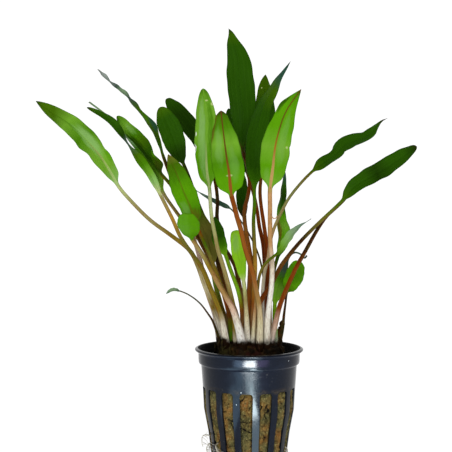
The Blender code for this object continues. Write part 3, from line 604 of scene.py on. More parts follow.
def crown_mesh():
    """The lumpy rootstock with rags of old sheaths round its shoulder."""
    body = Body()
    rings = []
    for i in range(CROWN_RINGS):
        level = -math.cos(math.pi * (i + 0.05) / (CROWN_RINGS - 0.9))
        ring = []
        for k in range(CROWN_ROUND):
            angle = 2 * math.pi * k / CROWN_ROUND
            place = crown_place(angle, level)
            rough = noise.fractal(place * 0.45, 1.0, 2.0, 4)
            ridges = noise.noise(around(9, angle, place.z * 0.15))
            ring.append(crown_place(angle, level, CROWN_ROUGHNESS * rough + CROWN_RIDGES * ridges))
        rings.append(ring)
    body.loft(rings)
    chance = random.Random("crown")
    for _ in range(CROWN_RAGS):
        angle = chance.uniform(0, 2 * math.pi)
        level = chance.uniform(-0.4, 0.55)
        out = around(1, angle, 0.0)
        along = Vector((-math.sin(angle), math.cos(angle), 0.0)) * chance.gauss(0.0, 0.5)
        start = crown_place(angle, level, -0.4)
        length = min(chance.uniform(3.0, 8.0), RAG_TOP - start.z)
        rise = (Vector((0, 0, 1)) + along) * length
        places = [start + rise * t + out * (0.9 * math.sin(2.6 * t) - t) for t in (i / 5 for i in range(6))]
        thick = chance.uniform(0.3, 0.75)
        body.tube(places, [thick * share for share in (1.0, 1.1, 1.0, 0.85, 0.6, 0.2)], 6)
    return body.mesh("fine_crown")


def crown_paint():
    paint = Paint("crown", 0.05)
    place = paint.place()
    streaks = paint.noise(place, 260.0, 4.0, 0.6)
    paint.base = paint.ramp(streaks, [(0.3, (8, 6, 3)), (0.5, (22, 15, 6)), (0.62, (42, 30, 12)),
                                      (0.75, (66, 48, 20))])
    blotch = paint.noise(place, 140.0, 2.0).step(0.4, 0.6)
    for middle, given in ((CROWN_RED, (50, 18, 13)), (CROWN_OLIVE, (52, 48, 20))):
        paint.cover(given, paint.apart(place, middle).step(0.011, 0.004) * blotch * 0.8)
    return paint.finish(0.7, streaks, 0.2)


# Leaves

# What a leaf's call may say about its paint, beside the colours along it
LOOKS = ("rib", "rib_amount", "tip", "patches", "pale_under")


def seen(across, up, lean):
    """The place that shows at (across, up) from the front viewpoint, leaning back (+) or forward (-)."""
    depth = lean * (1.0 + SPREAD * ease((up - SPREAD_FROM) / (SPREAD_TO - SPREAD_FROM)))
    share = (VIEW_DISTANCE + depth) / VIEW_DISTANCE
    return Vector((VIEW_ACROSS + (across - VIEW_ACROSS) * share, depth,
                   VIEW_UP + (up - VIEW_UP) * share))


class SmoothPath:
    """A smooth curve through points, followed by distance."""

    def __init__(self, points):
        self.points = points
        self.at = [0.0]
        for before, after in zip(points, points[1:]):
            self.at.append(self.at[-1] + (after - before).length)
        self.slopes = []
        for i in range(len(points)):
            low, high = max(i - 1, 0), min(i + 1, len(points) - 1)
            self.slopes.append((points[high] - points[low]) / (self.at[high] - self.at[low]))

    def place(self, distance):
        index = 0
        while index < len(self.at) - 2 and distance > self.at[index + 1]:
            index += 1
        span = self.at[index + 1] - self.at[index]
        t = (distance - self.at[index]) / span
        first = self.points[index] * (2 * t ** 3 - 3 * t ** 2 + 1)
        second = self.points[index + 1] * (3 * t ** 2 - 2 * t ** 3)
        leaving = self.slopes[index] * (t ** 3 - 2 * t ** 2 + t) * span
        arriving = self.slopes[index + 1] * (t ** 3 - t ** 2) * span
        return first + second + leaving + arriving

    def direction(self, distance):
        ahead = self.place(min(distance + LOOK_AHEAD, self.at[-1]))
        behind = self.place(max(distance - LOOK_AHEAD, 0.0))
        return (ahead - behind).normalized()


def blade_share(t, fullness, taper):
    """Share of a blade's full width at t, from its neck (0) to its tip (1)."""
    t = min(max(t, 0.0), 1.0)
    peak = fullness / (fullness + taper)
    most = peak ** fullness * (1.0 - peak) ** taper
    return t ** fullness * (1.0 - t) ** taper / most


class Leaf:
    """One leaf: a petiole through stem, whose last point is the neck, then a blade to its tip."""

    def __init__(self, phase, base, stem, blade, width, face, face_tip=None, stalk=(1.4, 0.9), fullness=0.7,
                 taper=0.8, fold=0.2, wave=0.0, waves=2.0, bumps=(), ripple=0.22,
                 least=LEAST_HALF_WIDTH, waist=(0.0, 0.5, 0.1), relief=1.0):
        foot = seen(base[0], CROWN_TOP + GAP, base[1])
        foot.z = CROWN_TOP + GAP
        points = [foot - Vector((0, 0, FOOT_DEPTH)), foot] + [seen(*point) for point in stem + blade]
        self.path = SmoothPath(points)
        self.neck = self.path.at[len(stem) + 1]
        self.total = self.path.at[-1]
        self.phase, self.width, self.fold, self.wave, self.waves = phase, width, fold, wave, waves
        self.face_low, self.face_high = Vector(face), Vector(face_tip or face)
        self.stalk, self.fullness, self.taper, self.relief = stalk, fullness, taper, relief
        self.bumps, self.ripple, self.least, self.waist = bumps, ripple, least, waist

    def half_width(self, t, side):
        """Half width of the blade on one side (-1 or 1), with its uneven margin."""
        half = self.width / 2 * blade_share(t, self.fullness, self.taper)
        half *= 1.0 + (0.022 * math.sin(17.0 * t + self.phase + side)
                       + 0.014 * math.sin(41.0 * t - 2 * self.phase + 2 * side))
        narrowing, middle, reach = self.waist
        half -= narrowing * bell((t - middle) / reach)
        for where, at, size, reach in self.bumps:
            if where in (side, 0):
                half += size * bell((t - at) / reach)
        return max(half, self.least)

    def rings(self):
        """Rings of points, and two notes for the paint at each point.

        The first is across (-1 to 1), along (0 to 1 at the neck to 2 at the tip) and 1 if it is on
        the underside. The second is how far it is from the middle, in half widths of the midrib.
        """
        stops = [self.neck * (i / PETIOLE_RINGS) ** 1.15 for i in range(PETIOLE_RINGS)]
        for i in range(BLADE_RINGS + 1):
            share = i / BLADE_RINGS
            share = 0.45 * share + 0.55 * (1.0 - math.cos(math.pi * share)) / 2
            stops.append(self.neck + (self.total - self.neck) * share)
        made = [self.ring(distance) for distance in stops]
        return [ring for ring, _, _ in made], sum((said for _, said, _ in made), []), sum(
            (near for _, _, near in made), [])

    def ring(self, distance):
        shares = [-share for share in COLUMNS[:0:-1]] + COLUMNS
        t = max(0.0, (distance - self.neck) / (self.total - self.neck))
        along = Vector((0, 0, 1)) if distance == 0.0 else self.path.direction(distance)
        side = along.cross(self.face_low.lerp(self.face_high, t)).normalized()
        up = side.cross(along).normalized()
        centre = self.path.place(distance)
        low, high = self.stalk
        stalk = low + (high - low) * ease(distance / self.neck)
        foot = 1.0 - ease(distance / SHEATH_HEIGHT)
        blade = ease(t / NECK_SHARE)
        wave = self.wave * math.sin(2 * math.pi * (self.waves * t + WAVE_TURN))
        keel = MIDRIB * (1.0 - MIDRIB_THINNING * t)
        rib_half = RIB_TIP + (high - RIB_TIP) * (1.0 - t) ** 3.0
        upper, lower, near = [], [], []
        for i, share in enumerate(shares):
            size, sign = abs(share), (1 if share >= 0 else -1)
            half = self.half_width(t, sign)
            rise = (self.fold * half - sign * wave * min(1.0, half)) * size ** 1.35
            ripple = self.ripple * min(1.0, half / 3)
            rise += ripple * size ** 3 * math.sin(31.0 * t + sign * 1.7 + self.phase)
            rise += ripple * math.sin(54.0 * t + 6.0 * size + self.phase) * size * (1 - size)
            vein = sum(bell((size - at) / VEIN_HALF_WIDTH) for at in SIDE_VEINS) * min(1.0, half / 4)
            thick = EDGE_THICKNESS + MIDDLE_THICKENING * (1.0 - size)
            furrow = FURROW * bell(size * half / FURROW_HALF_WIDTH)
            above = thick - self.relief * (furrow + VEIN_FURROW * vein)
            ridge = keel * bell(size * half / MIDRIB_HALF_WIDTH)
            below = thick + self.relief * (ridge + VEIN_RIDGE * vein)
            angle = math.pi * i / (len(shares) - 1)
            round_across = -stalk * math.cos(angle) * (1.0 + SHEATH_BREADTH * foot)
            round_up = stalk * math.sin(angle)
            groove = PETIOLE_GROOVE * stalk * bell(share / 0.3) * (1.0 - foot)
            across = centre + side * (round_across * (1 - blade) + share * half * blade)
            upper.append(across + up * ((round_up - groove) * (1 - blade) + (rise + above) * blade))
            lower.append(across + up * (-round_up * (1 - blade) + (rise - below) * blade))
            near.append((size * half / rib_half, 0.0, 0.0))
        for k in (0, -1):
            upper[k] = upper[k] + up * SLIVER * (1 - blade)
            lower[k] = lower[k] - up * SLIVER * (1 - blade)
        y = distance / self.neck if distance < self.neck else 1.0 + t
        said = [(share, y, 0.0) for share in shares] + [(share, y, 1.0) for share in reversed(shares)]
        return upper + lower[::-1], said, near + near[::-1]


def leaf_paint(node, hues, blade_hues, rib="", rib_amount=0.85, tip=("umber", 0.3), patches=(),
               pale_under=0.15):
    """Colours along a petiole and a blade, its midrib, side veins, streaks, edge, tip and underside, and
    painted shade on a petiole's sides and low down where it goes into the crown.

    A patch is its middle across and along, its half width and half height, its colour and its strength.
    """
    paint = Paint("paint_" + node, 0.015)
    chance = random.Random("paint_" + node)
    across, along, under = paint.parts(paint.attribute("leaf"))
    place = paint.place()
    size = abs(across)
    shift = (paint.noise(place, 120.0, 2.0) - 0.5) * 0.06
    paint.base = paint.ramp(along * 0.5 + shift, spread(hues, 0.0, 0.49) + spread(blade_hues, 0.51, 1.0))
    on_blade = along.step(1.0, 1.08)
    on_stalk = 1.0 - on_blade
    fine = paint.noise(paint.joined(across * 1.6, along * 3.0, chance.uniform(0, 9)), 2.0, 4.0, 0.6)
    for x, y, wide, high, name, amount in patches:
        apart = ((across - x) * (1 / wide)) ** 2.0 + ((along - y) * (1 / high)) ** 2.0
        paint.cover(name, (apart + fine.step(0.3, 0.7, -0.3, 0.3)).step(1.0, 0.0, 0.0, amount))
    for vein in SIDE_VEINS:
        paint.cover("leafy", abs(size - vein).step(VEIN_HALF_WIDTH, 0.0) * on_blade * 0.07)
    paint.cover("deep", size.step(0.88, 1.0) * on_blade * 0.3)
    paint.cover(tip[0], along.step(1.93, 2.0, 0.0, tip[1]))
    paint.cover("grey", under * on_blade * pale_under)
    if rib:
        near = paint.parts(paint.attribute("rib"))[0].step(1.2, 0.7) * along.step(0.99, 1.02)
        paint.base = paint.mix(near * rib_amount, paint.base, paint.ramp(along - 1.0, spread(rib, 0.0, 1.0)))
    # Painted shade: the sides of a petiole are darkened towards brown, where the light falls off round its
    # curve
    sides = size.step(0.4, 0.88) * on_stalk * 0.6
    paint.base = paint.mix(sides, paint.base, paint.mix(0.75, paint.base, colour("brown")))
    streak = paint.noise(paint.joined(across * 2.0, along * 9.0, chance.uniform(0, 9)), 2.0, 3.0, 0.6)
    paint.cover("rust", streak.step(0.52, 0.68) * on_stalk * 0.5)
    paint.cover("olive", streak.step(0.46, 0.34) * on_stalk * 0.4)
    x, y, height = paint.parts(place)
    # Painted shade: the petioles are darkened to near black low down, where they go into the crown in the
    # pot's mouth, reaching higher at the front and on the left
    painted_foot_shade = height + (paint.noise(place, 400.0) - 0.5) * 0.004 + y * 0.12 - x.step(-0.009, -0.013, 0.0, 0.002)
    paint.cover((28, 16, 7), painted_foot_shade.step(0.0628, 0.0598))
    light = fine.step(0.3, 0.7, 0.94, 1.05)
    paint.base = paint.mix(1.0, paint.base, paint.joined(light, light, light), "MULTIPLY")
    return paint.finish(fine.step(0.3, 0.7, 0.34, 0.46), paint.noise(place, 1100.0), 0.02)


def grow(node, slot, hues, blade_hues, bits=(), **given):
    """Makes and shows one leaf.

    A bit is a torn thread: its radius, where along the leaf its colour comes from, and its route.
    """
    look = {key: given.pop(key) for key in LOOKS if key in given}
    rings, notes, ribs = Leaf(random.Random(node).uniform(0.0, 6.0), **given).rings()
    body = Body()
    body.loft(rings)
    for thick, along, route in bits:
        body.tube([seen(*place) for place in route], [thick] * len(route), 6)
        more = len(body.points) - len(notes)
        notes += [(0.0, along, 0.0)] * more
        ribs += [(9.0, 0.0, 0.0)] * more
    mesh = body.mesh("fine_" + node)
    note(mesh, "leaf", notes)
    note(mesh, "rib", ribs)
    show("fine_" + node, mesh, leaf_paint(node, hues, blade_hues, **look), slot, node)


# Roots

def root_paint():
    paint = Paint("root", 0.3)
    mottle = paint.noise(paint.place(), 500.0)
    paint.base = paint.ramp(mottle, [(0.3, (120, 112, 92)), (0.6, (205, 202, 188))])
    return paint.finish(0.6)


def make_roots():
    material = root_paint()
    for node, points in ROOTS.items():
        chance = random.Random(node)
        path = SmoothPath([Vector(point) for point in points])
        body = Body()
        places, radii = [], []
        for i in range(ROOT_RINGS):
            share = i / (ROOT_RINGS - 1)
            wander = Vector([chance.gauss(0, 0.05) for _ in range(3)])
            places.append(path.place(path.at[-1] * share) + wander)
            radii.append(ROOT_RADIUS * (1.0 - ROOT_THINNING * share) * chance.uniform(0.85, 1.15))
        body.tube(places, radii, 7)
        for _ in range(FEW_HAIRS if node == "root_left_loop" else ROOT_HAIRS):
            start = places[chance.randrange(3, ROOT_RINGS - 1)]
            angle, height = math.atan2(start.y, start.x), start.z
            reach = math.hypot(start.x, start.y)
            turn, drop = chance.gauss(0.0, 0.05), chance.uniform(-1.0, 0.25)
            hair = []
            for _ in range(7):
                hair.append(around(reach, angle, height))
                turn += chance.gauss(0.0, 0.012)
                angle += turn * 0.5
                height = max(1.0, height + drop * chance.uniform(0.5, 1.2))
                reach = reach * 0.7 + (wall_radius(height) + 0.35) * 0.3
            body.tube(hair, [0.1, 0.1, 0.09, 0.08, 0.07, 0.06, 0.04], 4)
        show("fine_" + node, body.mesh("fine_" + node), material, "root", node)


# Studio

# Bright strips low in front of the pot, which show only as reflections in it: left, right, near and far
# edge in metres, glow and tint
POT_LIGHTS = {
    "collar_strip": (-0.05, 0.05, 0.185, 0.28, 150.0, (0.88, 0.95, 1.0)),
    "left_halo": (-0.14, -0.05, 0.18, 0.28, 19.0, (0.4, 0.65, 1.0)),
    "right_halo": (0.05, 0.18, 0.19, 0.28, 10.0, (0.55, 0.42, 1.0)),
    "body_glow": (-0.08, 0.06, 0.125, 0.175, 5.0, (0.4, 0.75, 1.0)),
    "body_patch": (-0.02, 0.02, 0.125, 0.15, 24.0, (0.62, 0.9, 1.0)),
    "rib_strip": (0.0, 0.024, 0.07, 0.12, 88.0, (0.75, 0.92, 1.0)),
    "low_strip": (-0.01, 0.022, 0.025, 0.065, 11.0, (0.6, 0.85, 1.0)),
    "left_strip": (-0.09, -0.03, 0.03, 0.12, 6.0, (0.45, 0.75, 1.0)),
}


def panel(name, corners, base, glow):
    mesh = bpy.data.meshes.new(name)
    mesh.from_pydata(corners, [], [(0, 1, 2, 3)])
    paint = Paint(name, 0.0)
    paint.base = (base, base, base, 1.0)
    paint.put("Emission Color", (1.0, 1.0, 1.0, 1.0))
    paint.put("Emission Strength", glow)
    mesh.materials.append(paint.finish(0.9))
    thing = add(name, mesh)


def softbox(name, place, aim, wide, high, power, tint=(1.0, 1.0, 1.0), only=None):
    light = bpy.data.lights.new(name, "AREA")
    light.shape = "RECTANGLE"
    light.size, light.size_y = wide, high
    light.energy = power
    light.color = tint
    thing = add(name, light)
    thing.location = place
    thing.rotation_euler = (Vector(aim) - Vector(place)).to_track_quat("-Z", "Y").to_euler()
    thing.visible_camera = False
    if only:
        lit = bpy.data.collections.new(name + "_lights")
        lit.objects.link(only)
        thing.light_linking.receiver_collection = lit


def make_studio(pot):
    scene = bpy.context.scene
    scene.world = bpy.data.worlds.new("studio")
    scene.world.use_nodes = True
    background = scene.world.node_tree.nodes["Background"].inputs
    background["Color"].default_value = (1.0, 1.0, 1.0, 1.0)
    background["Strength"].default_value = 0.3
    scene.view_settings.view_transform = "Standard"
    side, front, back = 1.6, -1.2, 0.9
    panel("floor", [(-side, front, 0), (side, front, 0), (side, back, 0), (-side, back, 0)], 0.15, 0.95)
    panel("backdrop", [(-side, back, 0), (side, back, 0), (side, back, side), (-side, back, side)], 0.1, 1.0)
    softbox("key", (0.22, -0.7, 0.55), (0.0, 0.0, 0.14), 0.4, 0.4, 2.5)
    softbox("fill", (-0.3, -0.7, 0.14), (0.0, 0.0, 0.09), 0.35, 0.35, 1.9)
    for name, (left, right, near, far, glow, tint) in POT_LIGHTS.items():
        middle = ((left + right) / 2, -(near + far) / 2)
        wide, deep = right - left, far - near
        softbox(name, (*middle, 0.002), (*middle, 0.1), wide, deep, glow * math.pi * wide * deep, tint, pot)
    camera = bpy.data.cameras.new("camera")
    camera.sensor_width = 36.0
    camera.lens = VIEW_LENS
    camera.clip_start = 0.01
    eye = add("camera", camera)
    eye.location = Vector((VIEW_ACROSS, -VIEW_DISTANCE, VIEW_UP)) * MM
    eye.rotation_euler = (math.radians(90.0), 0.0, 0.0)
    scene.camera = eye


# The pieces, one after the other

pot_piece = show("fine_pot", pot_mesh(), pot_paint(), "pot_plastic", "pot")
show("fine_rock_wool", wool_mesh(), wool_paint(), "rock_wool", "rock_wool")
show("fine_crown", crown_mesh(), crown_paint(), "crown", "crown")

# On the left
grow("leaf_far_left", "bright_leaf", "foot foot brass cream khaki brass brass khaki khaki pale",
     "sheen leafy leafy grass leafy moss moss", rib="pale pale khaki leafy grass moss moss", rib_amount=0.5,
     tip=("ink", 0.8),
     patches=[(0.2, 1.45, 0.6, 0.22, "sheen", 0.9), (0.8, 1.27, 0.35, 0.06, "bright", 0.8)],
     base=(-13.2, -1.5),
     stem=[(-15.3, 70.8, -1.8), (-18.8, 80, -2), (-22.9, 90.5, -2.3), (-26, 99.3, -2.6), (-30, 107, -3),
           (-39.2, 114.5, -4), (-50.4, 122.7, -6), (-60.5, 132.8, -7), (-66.2, 139.5, -8)],
     blade=[(-70.8, 147.5, -9), (-76.6, 156.3, -10.5), (-89.6, 170, -12), (-99, 176.6, -13.5),
            (-108.4, 183.2, -15)], width=10.4, face=(0.1, -0.9, 0.35), fullness=0.75, taper=0.75, wave=0.35,
     bumps=((-1, 0.48, 0.7, 0.04), (-1, 0.39, -0.5, 0.04), (1, 0.1, 0.8, 0.07), (1, 0.34, -0.8, 0.04)))
grow("leaf_low_left", "grey_leaf", "umber ink umber slate slate", "slate silver silver grey",
     base=(-14.6, -4.6),
     stem=[(-18.3, 70.8, -5.5), (-20.9, 75, -6), (-24.9, 80.2, -7), (-30, 84.2, -8.5), (-35.1, 86.5, -10)],
     blade=[(-38.7, 86.9, -11), (-42.2, 85.2, -12)], width=2.6, face=(0, -0.5, 0.85), stalk=(0.6, 0.35),
     fold=0.4)
grow("leaf_left_slender", "grey_leaf", "white white blush blush blush khaki umber umber umber",
     "moss grass moss moss grass moss slate silver slate ash ash",
     patches=[(0.6, 1.32, 0.6, 0.1, "teal", 0.9)], base=(-15.0, 1.5),
     stem=[(-17.3, 74.3, 2), (-20.4, 83.5, 2.3), (-22.9, 92.1, 2.7), (-24.4, 100.3, 3), (-26.5, 108.4, 3.2),
           (-30, 118.1, 3.6), (-35.1, 131.3, 4.2), (-40.2, 145.6, 5.5), (-43.3, 154.2, 8)],
     blade=[(-46.8, 164.4, 11), (-50.8, 172.2, 13.5), (-56, 178.3, 15), (-63.1, 186.8, 17),
            (-71.1, 193.4, 19), (-76.9, 199.3, 20)], width=4.6, face=(0.6, -0.55, 0.5), wave=0.3,
     bumps=((1, 0.32, 1.0, 0.08), (1, 0.12, -0.4, 0.05), (0, 0.49, -0.4, 0.04), (0, 0.57, 0.7, 0.04),
            (0, 0.63, -0.8, 0.02), (0, 0.69, 0.4, 0.03), (0, 0.745, -0.5, 0.02), (0, 0.79, 0.4, 0.03),
            (0, 0.85, -0.65, 0.025), (0, 0.93, 1.2, 0.04), (0, 0.99, 0.6, 0.02)), fullness=0.5, taper=0.8,
     waist=(0.4, 0.24, 0.06))
grow("leaf_left_back", "grey_leaf", "cream brass leafy brass brass khaki",
     "leafy leafy moss moss grass silver slate slate sage silver silver", base=(-10.2, 4.5),
     stem=[(-11.7, 70.8, 5.5), (-13.7, 77, 6.5), (-16.8, 88.6, 9), (-18.8, 98.2, 12), (-22.4, 108.9, 13),
           (-30, 117.6, 13), (-39.2, 129.8, 12), (-43.8, 136.9, 12)],
     blade=[(-45.3, 143, 12), (-50.4, 150.7, 12.5), (-55.5, 157.3, 13), (-60.6, 163.4, 13.5),
            (-66.7, 170.5, 14), (-73.3, 176.6, 15), (-81.4, 182.7, 16)], width=4.8, face=(0.45, -0.8, 0.4),
     fullness=0.6, taper=2.4, least=0.55)
grow("leaf_left_narrow", "dark_leaf", "foot foot brass brass brass olive olive gold khaki",
     "pale sheen leafy grass moss slate deep dark dark dark moss", tip=("ink", 0.8), base=(-11.6, -6.5),
     stem=[(-13.7, 71.8, -7), (-15.8, 78.4, -7.5), (-19.9, 88.6, -8.3), (-23.9, 98.2, -9),
           (-27.5, 103.3, -9.5), (-31.6, 109, -10), (-35.1, 114.5, -10.3), (-39.2, 123.7, -10.7),
           (-44.8, 134.9, -11)],
     blade=[(-49.4, 144.4, -11.5), (-55.3, 153, -12), (-61.6, 161.4, -12.5), (-69, 172, -14),
            (-75, 176.2, -15), (-82.5, 180, -16)], width=4.8, face=(0.3, -0.9, 0.3), fullness=0.4, taper=0.5,
     waist=(1.95, 0.53, 0.1))
# Painted shade: the first deep patch of this leaf darkens the half of the blade that is turned from the
# light
grow("leaf_left_round_tip", "bright_leaf", "white pink rust brown brown umber moss",
     "dark moss dark moss grass leafy grass",
     patches=[(-0.7, 1.4, 0.6, 0.5, "deep", 0.95), (0.2, 1.1, 0.9, 0.16, "umber", 0.5),
              (0.7, 1.3, 0.4, 0.08, "bright", 0.6), (0.3, 1.75, 0.5, 0.12, "sheen", 0.4),
              (-0.8, 1.95, 1.0, 0.06, "deep", 0.7)], base=(-7.5, 7.5),
     stem=[(-8.1, 71.8, 7.5), (-10.2, 80.4, 7.5), (-13.2, 88.1, 7.5), (-16.3, 94.2, 7.5),
           (-18.8, 100.8, 7.8), (-22.4, 107.4, 8), (-28, 117.6, 8.3), (-34.1, 130.3, 9), (-40.2, 141, 9),
           (-44.3, 145.6, 8)],
     blade=[(-50.1, 155.5, 6), (-55.4, 162.5, 4.5), (-62.5, 169.7, 3), (-67.2, 175.6, 2)], width=7.8,
     face=(0.37, -0.87, 0.33), taper=0.5, bumps=((1, 0.3, -1.3, 0.06), (1, 0.12, 1.7, 0.08)))
grow("leaf_upper_left", "dark_leaf", "white tan brown umber umber umber deep",
     "deep deep dark dark dark moss", base=(-4.8, 3.2),
     stem=[(-6.6, 74.3, 3.6), (-9.7, 83, 4.3), (-12.7, 89.1, 5), (-14.8, 96.2, 5.5), (-16.3, 103.3, 5.5),
           (-18.3, 112.5, 5.5), (-22.4, 122.7, 5.5), (-26.5, 132.8, 5.2), (-30, 143, 4.5),
           (-33.1, 150.7, 4)],
     blade=[(-36.6, 158.3, 3.5), (-38.8, 165, 3), (-42, 173, 2.5), (-45.2, 180.2, 2)], width=12.0,
     face=(0.15, -0.97, 0.1), taper=0.55)
grow("leaf_upper_left_back", "dark_leaf", "cream tan brown umber umber umber deep",
     "deep deep deep deep dark", base=(-3.0, 8.0),
     stem=[(-3.1, 74.3, 8), (-3.6, 81.9, 8), (-5.1, 90.1, 8), (-6.6, 98.2, 8), (-8.7, 102.6, 8),
           (-11.7, 106.9, 8.5), (-14.8, 115, 9), (-16.3, 124.2, 9.5), (-16, 132.8, 10), (-17.6, 144, 11),
           (-20.4, 152.2, 12)],
     blade=[(-26, 163.4, 14), (-31, 171, 16), (-36.8, 178.2, 18), (-41.7, 184.6, 20)], width=10.6,
     face=(0.3, -0.9, 0.2), taper=0.5)
grow("leaf_left_broad", "dark_leaf", "grass grass brown rust brass brass olive moss rust",
     "moss grass bright bright grass moss olive", rib="rust brown brown moss", rib_amount=0.4,
     tip=("brown", 0.6),
     patches=[(-0.5, 1.25, 0.5, 0.15, "sheen", 0.35), (0.4, 1.12, 0.6, 0.14, "brown", 0.45)],
     base=(-8.3, -3.0),
     stem=[(-9.7, 72.8, -3.5), (-12.2, 83, -4), (-15.8, 93.7, -5), (-19.9, 104.3, -6), (-23.4, 112.5, -7),
           (-26.5, 119.6, -8)],
     blade=[(-28.5, 125.2, -8.5), (-30.5, 130.8, -9), (-33.6, 137.9, -9.7), (-37.2, 147.1, -11),
            (-41.1, 156, -13)], width=11.4, face=(0.1, -0.98, 0.1), fullness=0.6, taper=0.75)
grow("leaf_left_young", "bright_leaf", "white white foot pink sand sand brass khaki sand",
     "grass bright bright bright bright", pale_under=0.0, base=(-3.4, -10.5),
     stem=[(-5.6, 69.2, -11), (-8.7, 78.4, -11.3), (-12.2, 84.5, -11.7), (-15.8, 90.6, -12.2),
           (-19.9, 98.2, -13), (-22.9, 103.8, -13.8), (-26.5, 109.4, -15), (-29, 113, -17)],
     blade=[(-30.2, 116.6, -21), (-31, 120.5, -26), (-31.4, 126, -31)], width=10.6, face=(0.05, 0.65, 0.75),
     stalk=(1.7, 1.0), fullness=0.5, taper=0.5, ripple=0.05, relief=0.1)
grow("leaf_left_dark_folded", "dark_leaf", "white pink rust rust brown", "olive olive olive moss moss",
     base=(-6.8, -0.2),
     stem=[(-7.6, 70.8, 0), (-9.7, 78.4, 0.2), (-13.2, 87, 0.5), (-15.8, 92.1, 0.8), (-18.3, 98.2, 1)],
     blade=[(-19.3, 107.4, 0.8), (-21.4, 115, 0.5), (-26.5, 125.2, 0), (-30, 137.9, -1)], width=7.6,
     face=(0.4, -0.9, 0), stalk=(1.2, 0.9), fold=0.5)
grow("leaf_thin_grey", "grey_leaf", "tan olive olive umber grey", "grey teal grey grey", base=(7.2, 10.2),
     stem=[(8.1, 71.8, 12.5), (7.9, 84.5, 14.5), (6.6, 98.2, 16), (3.1, 109.4, 17), (-3.1, 120.6, 17),
           (-8.9, 128, 16.5)],
     blade=[(-12.7, 130, 16.3), (-17.3, 132.1, 16), (-22.4, 134.9, 15.5), (-27.5, 138.2, 15)], width=3.2,
     face=(0.1, -0.8, 0.55), stalk=(0.7, 0.4), fullness=0.6, taper=1.4, least=0.2)

# In the centre
grow("leaf_centre_left_pale", "bright_leaf", "foot brass brass khaki khaki khaki pale silk",
     "leafy bright bright leafy leafy leafy grass", rib="pale pale leafy leafy leafy", rib_amount=0.7,
     patches=[(-0.35, 1.5, 0.45, 0.5, "sheen", 0.85), (0.5, 1.6, 0.4, 0.45, "grass", 0.85),
              (-0.95, 1.42, 0.1, 0.05, "white", 1.0), (-0.9, 1.55, 0.1, 0.03, "white", 0.9),
              (0.3, 1.88, 0.3, 0.012, "pale", 1.0), (0.85, 1.84, 0.2, 0.02, "pale", 0.9)], base=(-6.2, -7.0),
     stem=[(-7.6, 75.8, -7.4), (-9.7, 86, -7.8), (-11.7, 93.7, -8.2), (-13.7, 100.8, -8.6),
           (-15.8, 107.4, -9), (-17.3, 115, -9.3), (-18.8, 122.7, -9.6), (-19.6, 130.3, -9.8),
           (-20.1, 138.5, -10)],
     blade=[(-21.4, 147, -10), (-21.9, 160.8, -10.5), (-21.9, 173.6, -11.2), (-22.6, 183, -12),
            (-23.4, 189.6, -13)], width=11.2, face=(0.1, -1, 0), fullness=0.5, taper=0.54,
     bumps=((-1, 0.43, -0.5, 0.012), (-1, 0.38, -0.35, 0.008), (-1, 0.54, -0.25, 0.01)))
grow("leaf_centre_left_red", "bright_leaf", "foot cream sand sienna sienna sienna rust",
     "bright bright grass leafy grass moss", rib="sienna sienna brown brown brown", rib_amount=0.97,
     tip=("umber", 0.8),
     patches=[(-0.45, 1.6, 0.35, 0.3, "sheen", 0.35), (0.4, 1.35, 0.35, 0.25, "sheen", 0.25),
              (-1.0, 1.85, 0.25, 0.3, "brown", 0.7), (0.0, 1.975, 0.12, 0.012, "white", 0.9),
              (0.0, 1.24, 0.25, 0.015, "pale", 0.8)], base=(5.4, -10.0),
     stem=[(5.6, 72.8, -10.5), (5.1, 79.4, -11), (3.6, 87, -12), (2.3, 94.2, -13.2), (0.5, 100.3, -14),
           (-2, 108.4, -15), (-4.1, 117.6, -16), (-6.1, 124.2, -16.7), (-7.6, 130.3, -17.3),
           (-8.9, 134.9, -18)],
     blade=[(-10.2, 147.1, -19), (-11.2, 153.2, -19.5), (-13.2, 168.5, -22), (-14.3, 178.2, -25)],
     width=14.8, face=(0, -1, 0.1), stalk=(1.35, 1.15), fullness=0.42, taper=0.7,
     bumps=((1, 0.95, 0.7, 0.05), (-1, 0.95, 0.7, 0.05)))
grow("leaf_centre_young", "bright_leaf", "white foot cream khaki pale", "pale lime lime lime lime lime lime",
     patches=[(-0.2, 1.75, 0.7, 0.25, "sheen", 0.5)], base=(-0.9, -7.0),
     stem=[(-1.2, 71.8, -7.4), (-1.8, 81.9, -8), (-2.6, 90.5, -8.5)],
     blade=[(-3.6, 96.2, -9), (-4.4, 101.2, -9.2), (-5.3, 105, -9.4), (-5.9, 110.5, -9.8),
            (-6.6, 117.5, -10.6)], width=6.8, face=(0, -1, 0), stalk=(1.3, 1), fullness=0.6, taper=0.25)
grow("leaf_inner_left", "dark_leaf", "white tan orange lime lime lime", "lime grass dark dark dark",
     base=(-2.4, -3.5),
     stem=[(-3.1, 71.8, -3.3), (-4.1, 80.4, -3.2), (-5.6, 87, -3.1), (-7.6, 92.6, -3.2), (-9.7, 98.2, -3.4),
           (-11.7, 104.3, -3.6)],
     blade=[(-13.7, 108.9, -3.8), (-15.3, 113.5, -4), (-16, 118.6, -4.4), (-17.6, 124.4, -5)], width=7.0,
     face=(-0.2, -0.95, 0.1), stalk=(1.2, 1.0))
grow("leaf_inner_dark", "dark_leaf", "cream tan tan orange rust umber", "umber deep dark dark",
     base=(-1.5, 4.0),
     stem=[(-0.8, 76.9, 4), (0, 89.6, 4.5), (0.3, 101.3, 5), (-0.5, 112.5, 6), (-2.5, 123.2, 7)],
     blade=[(-3.3, 128.8, 8), (-3.6, 134.4, 9), (-3.3, 140, 10), (-2.5, 146.1, 11)], width=6.4,
     face=(0.1, -1, 0), stalk=(1.2, 0.8))
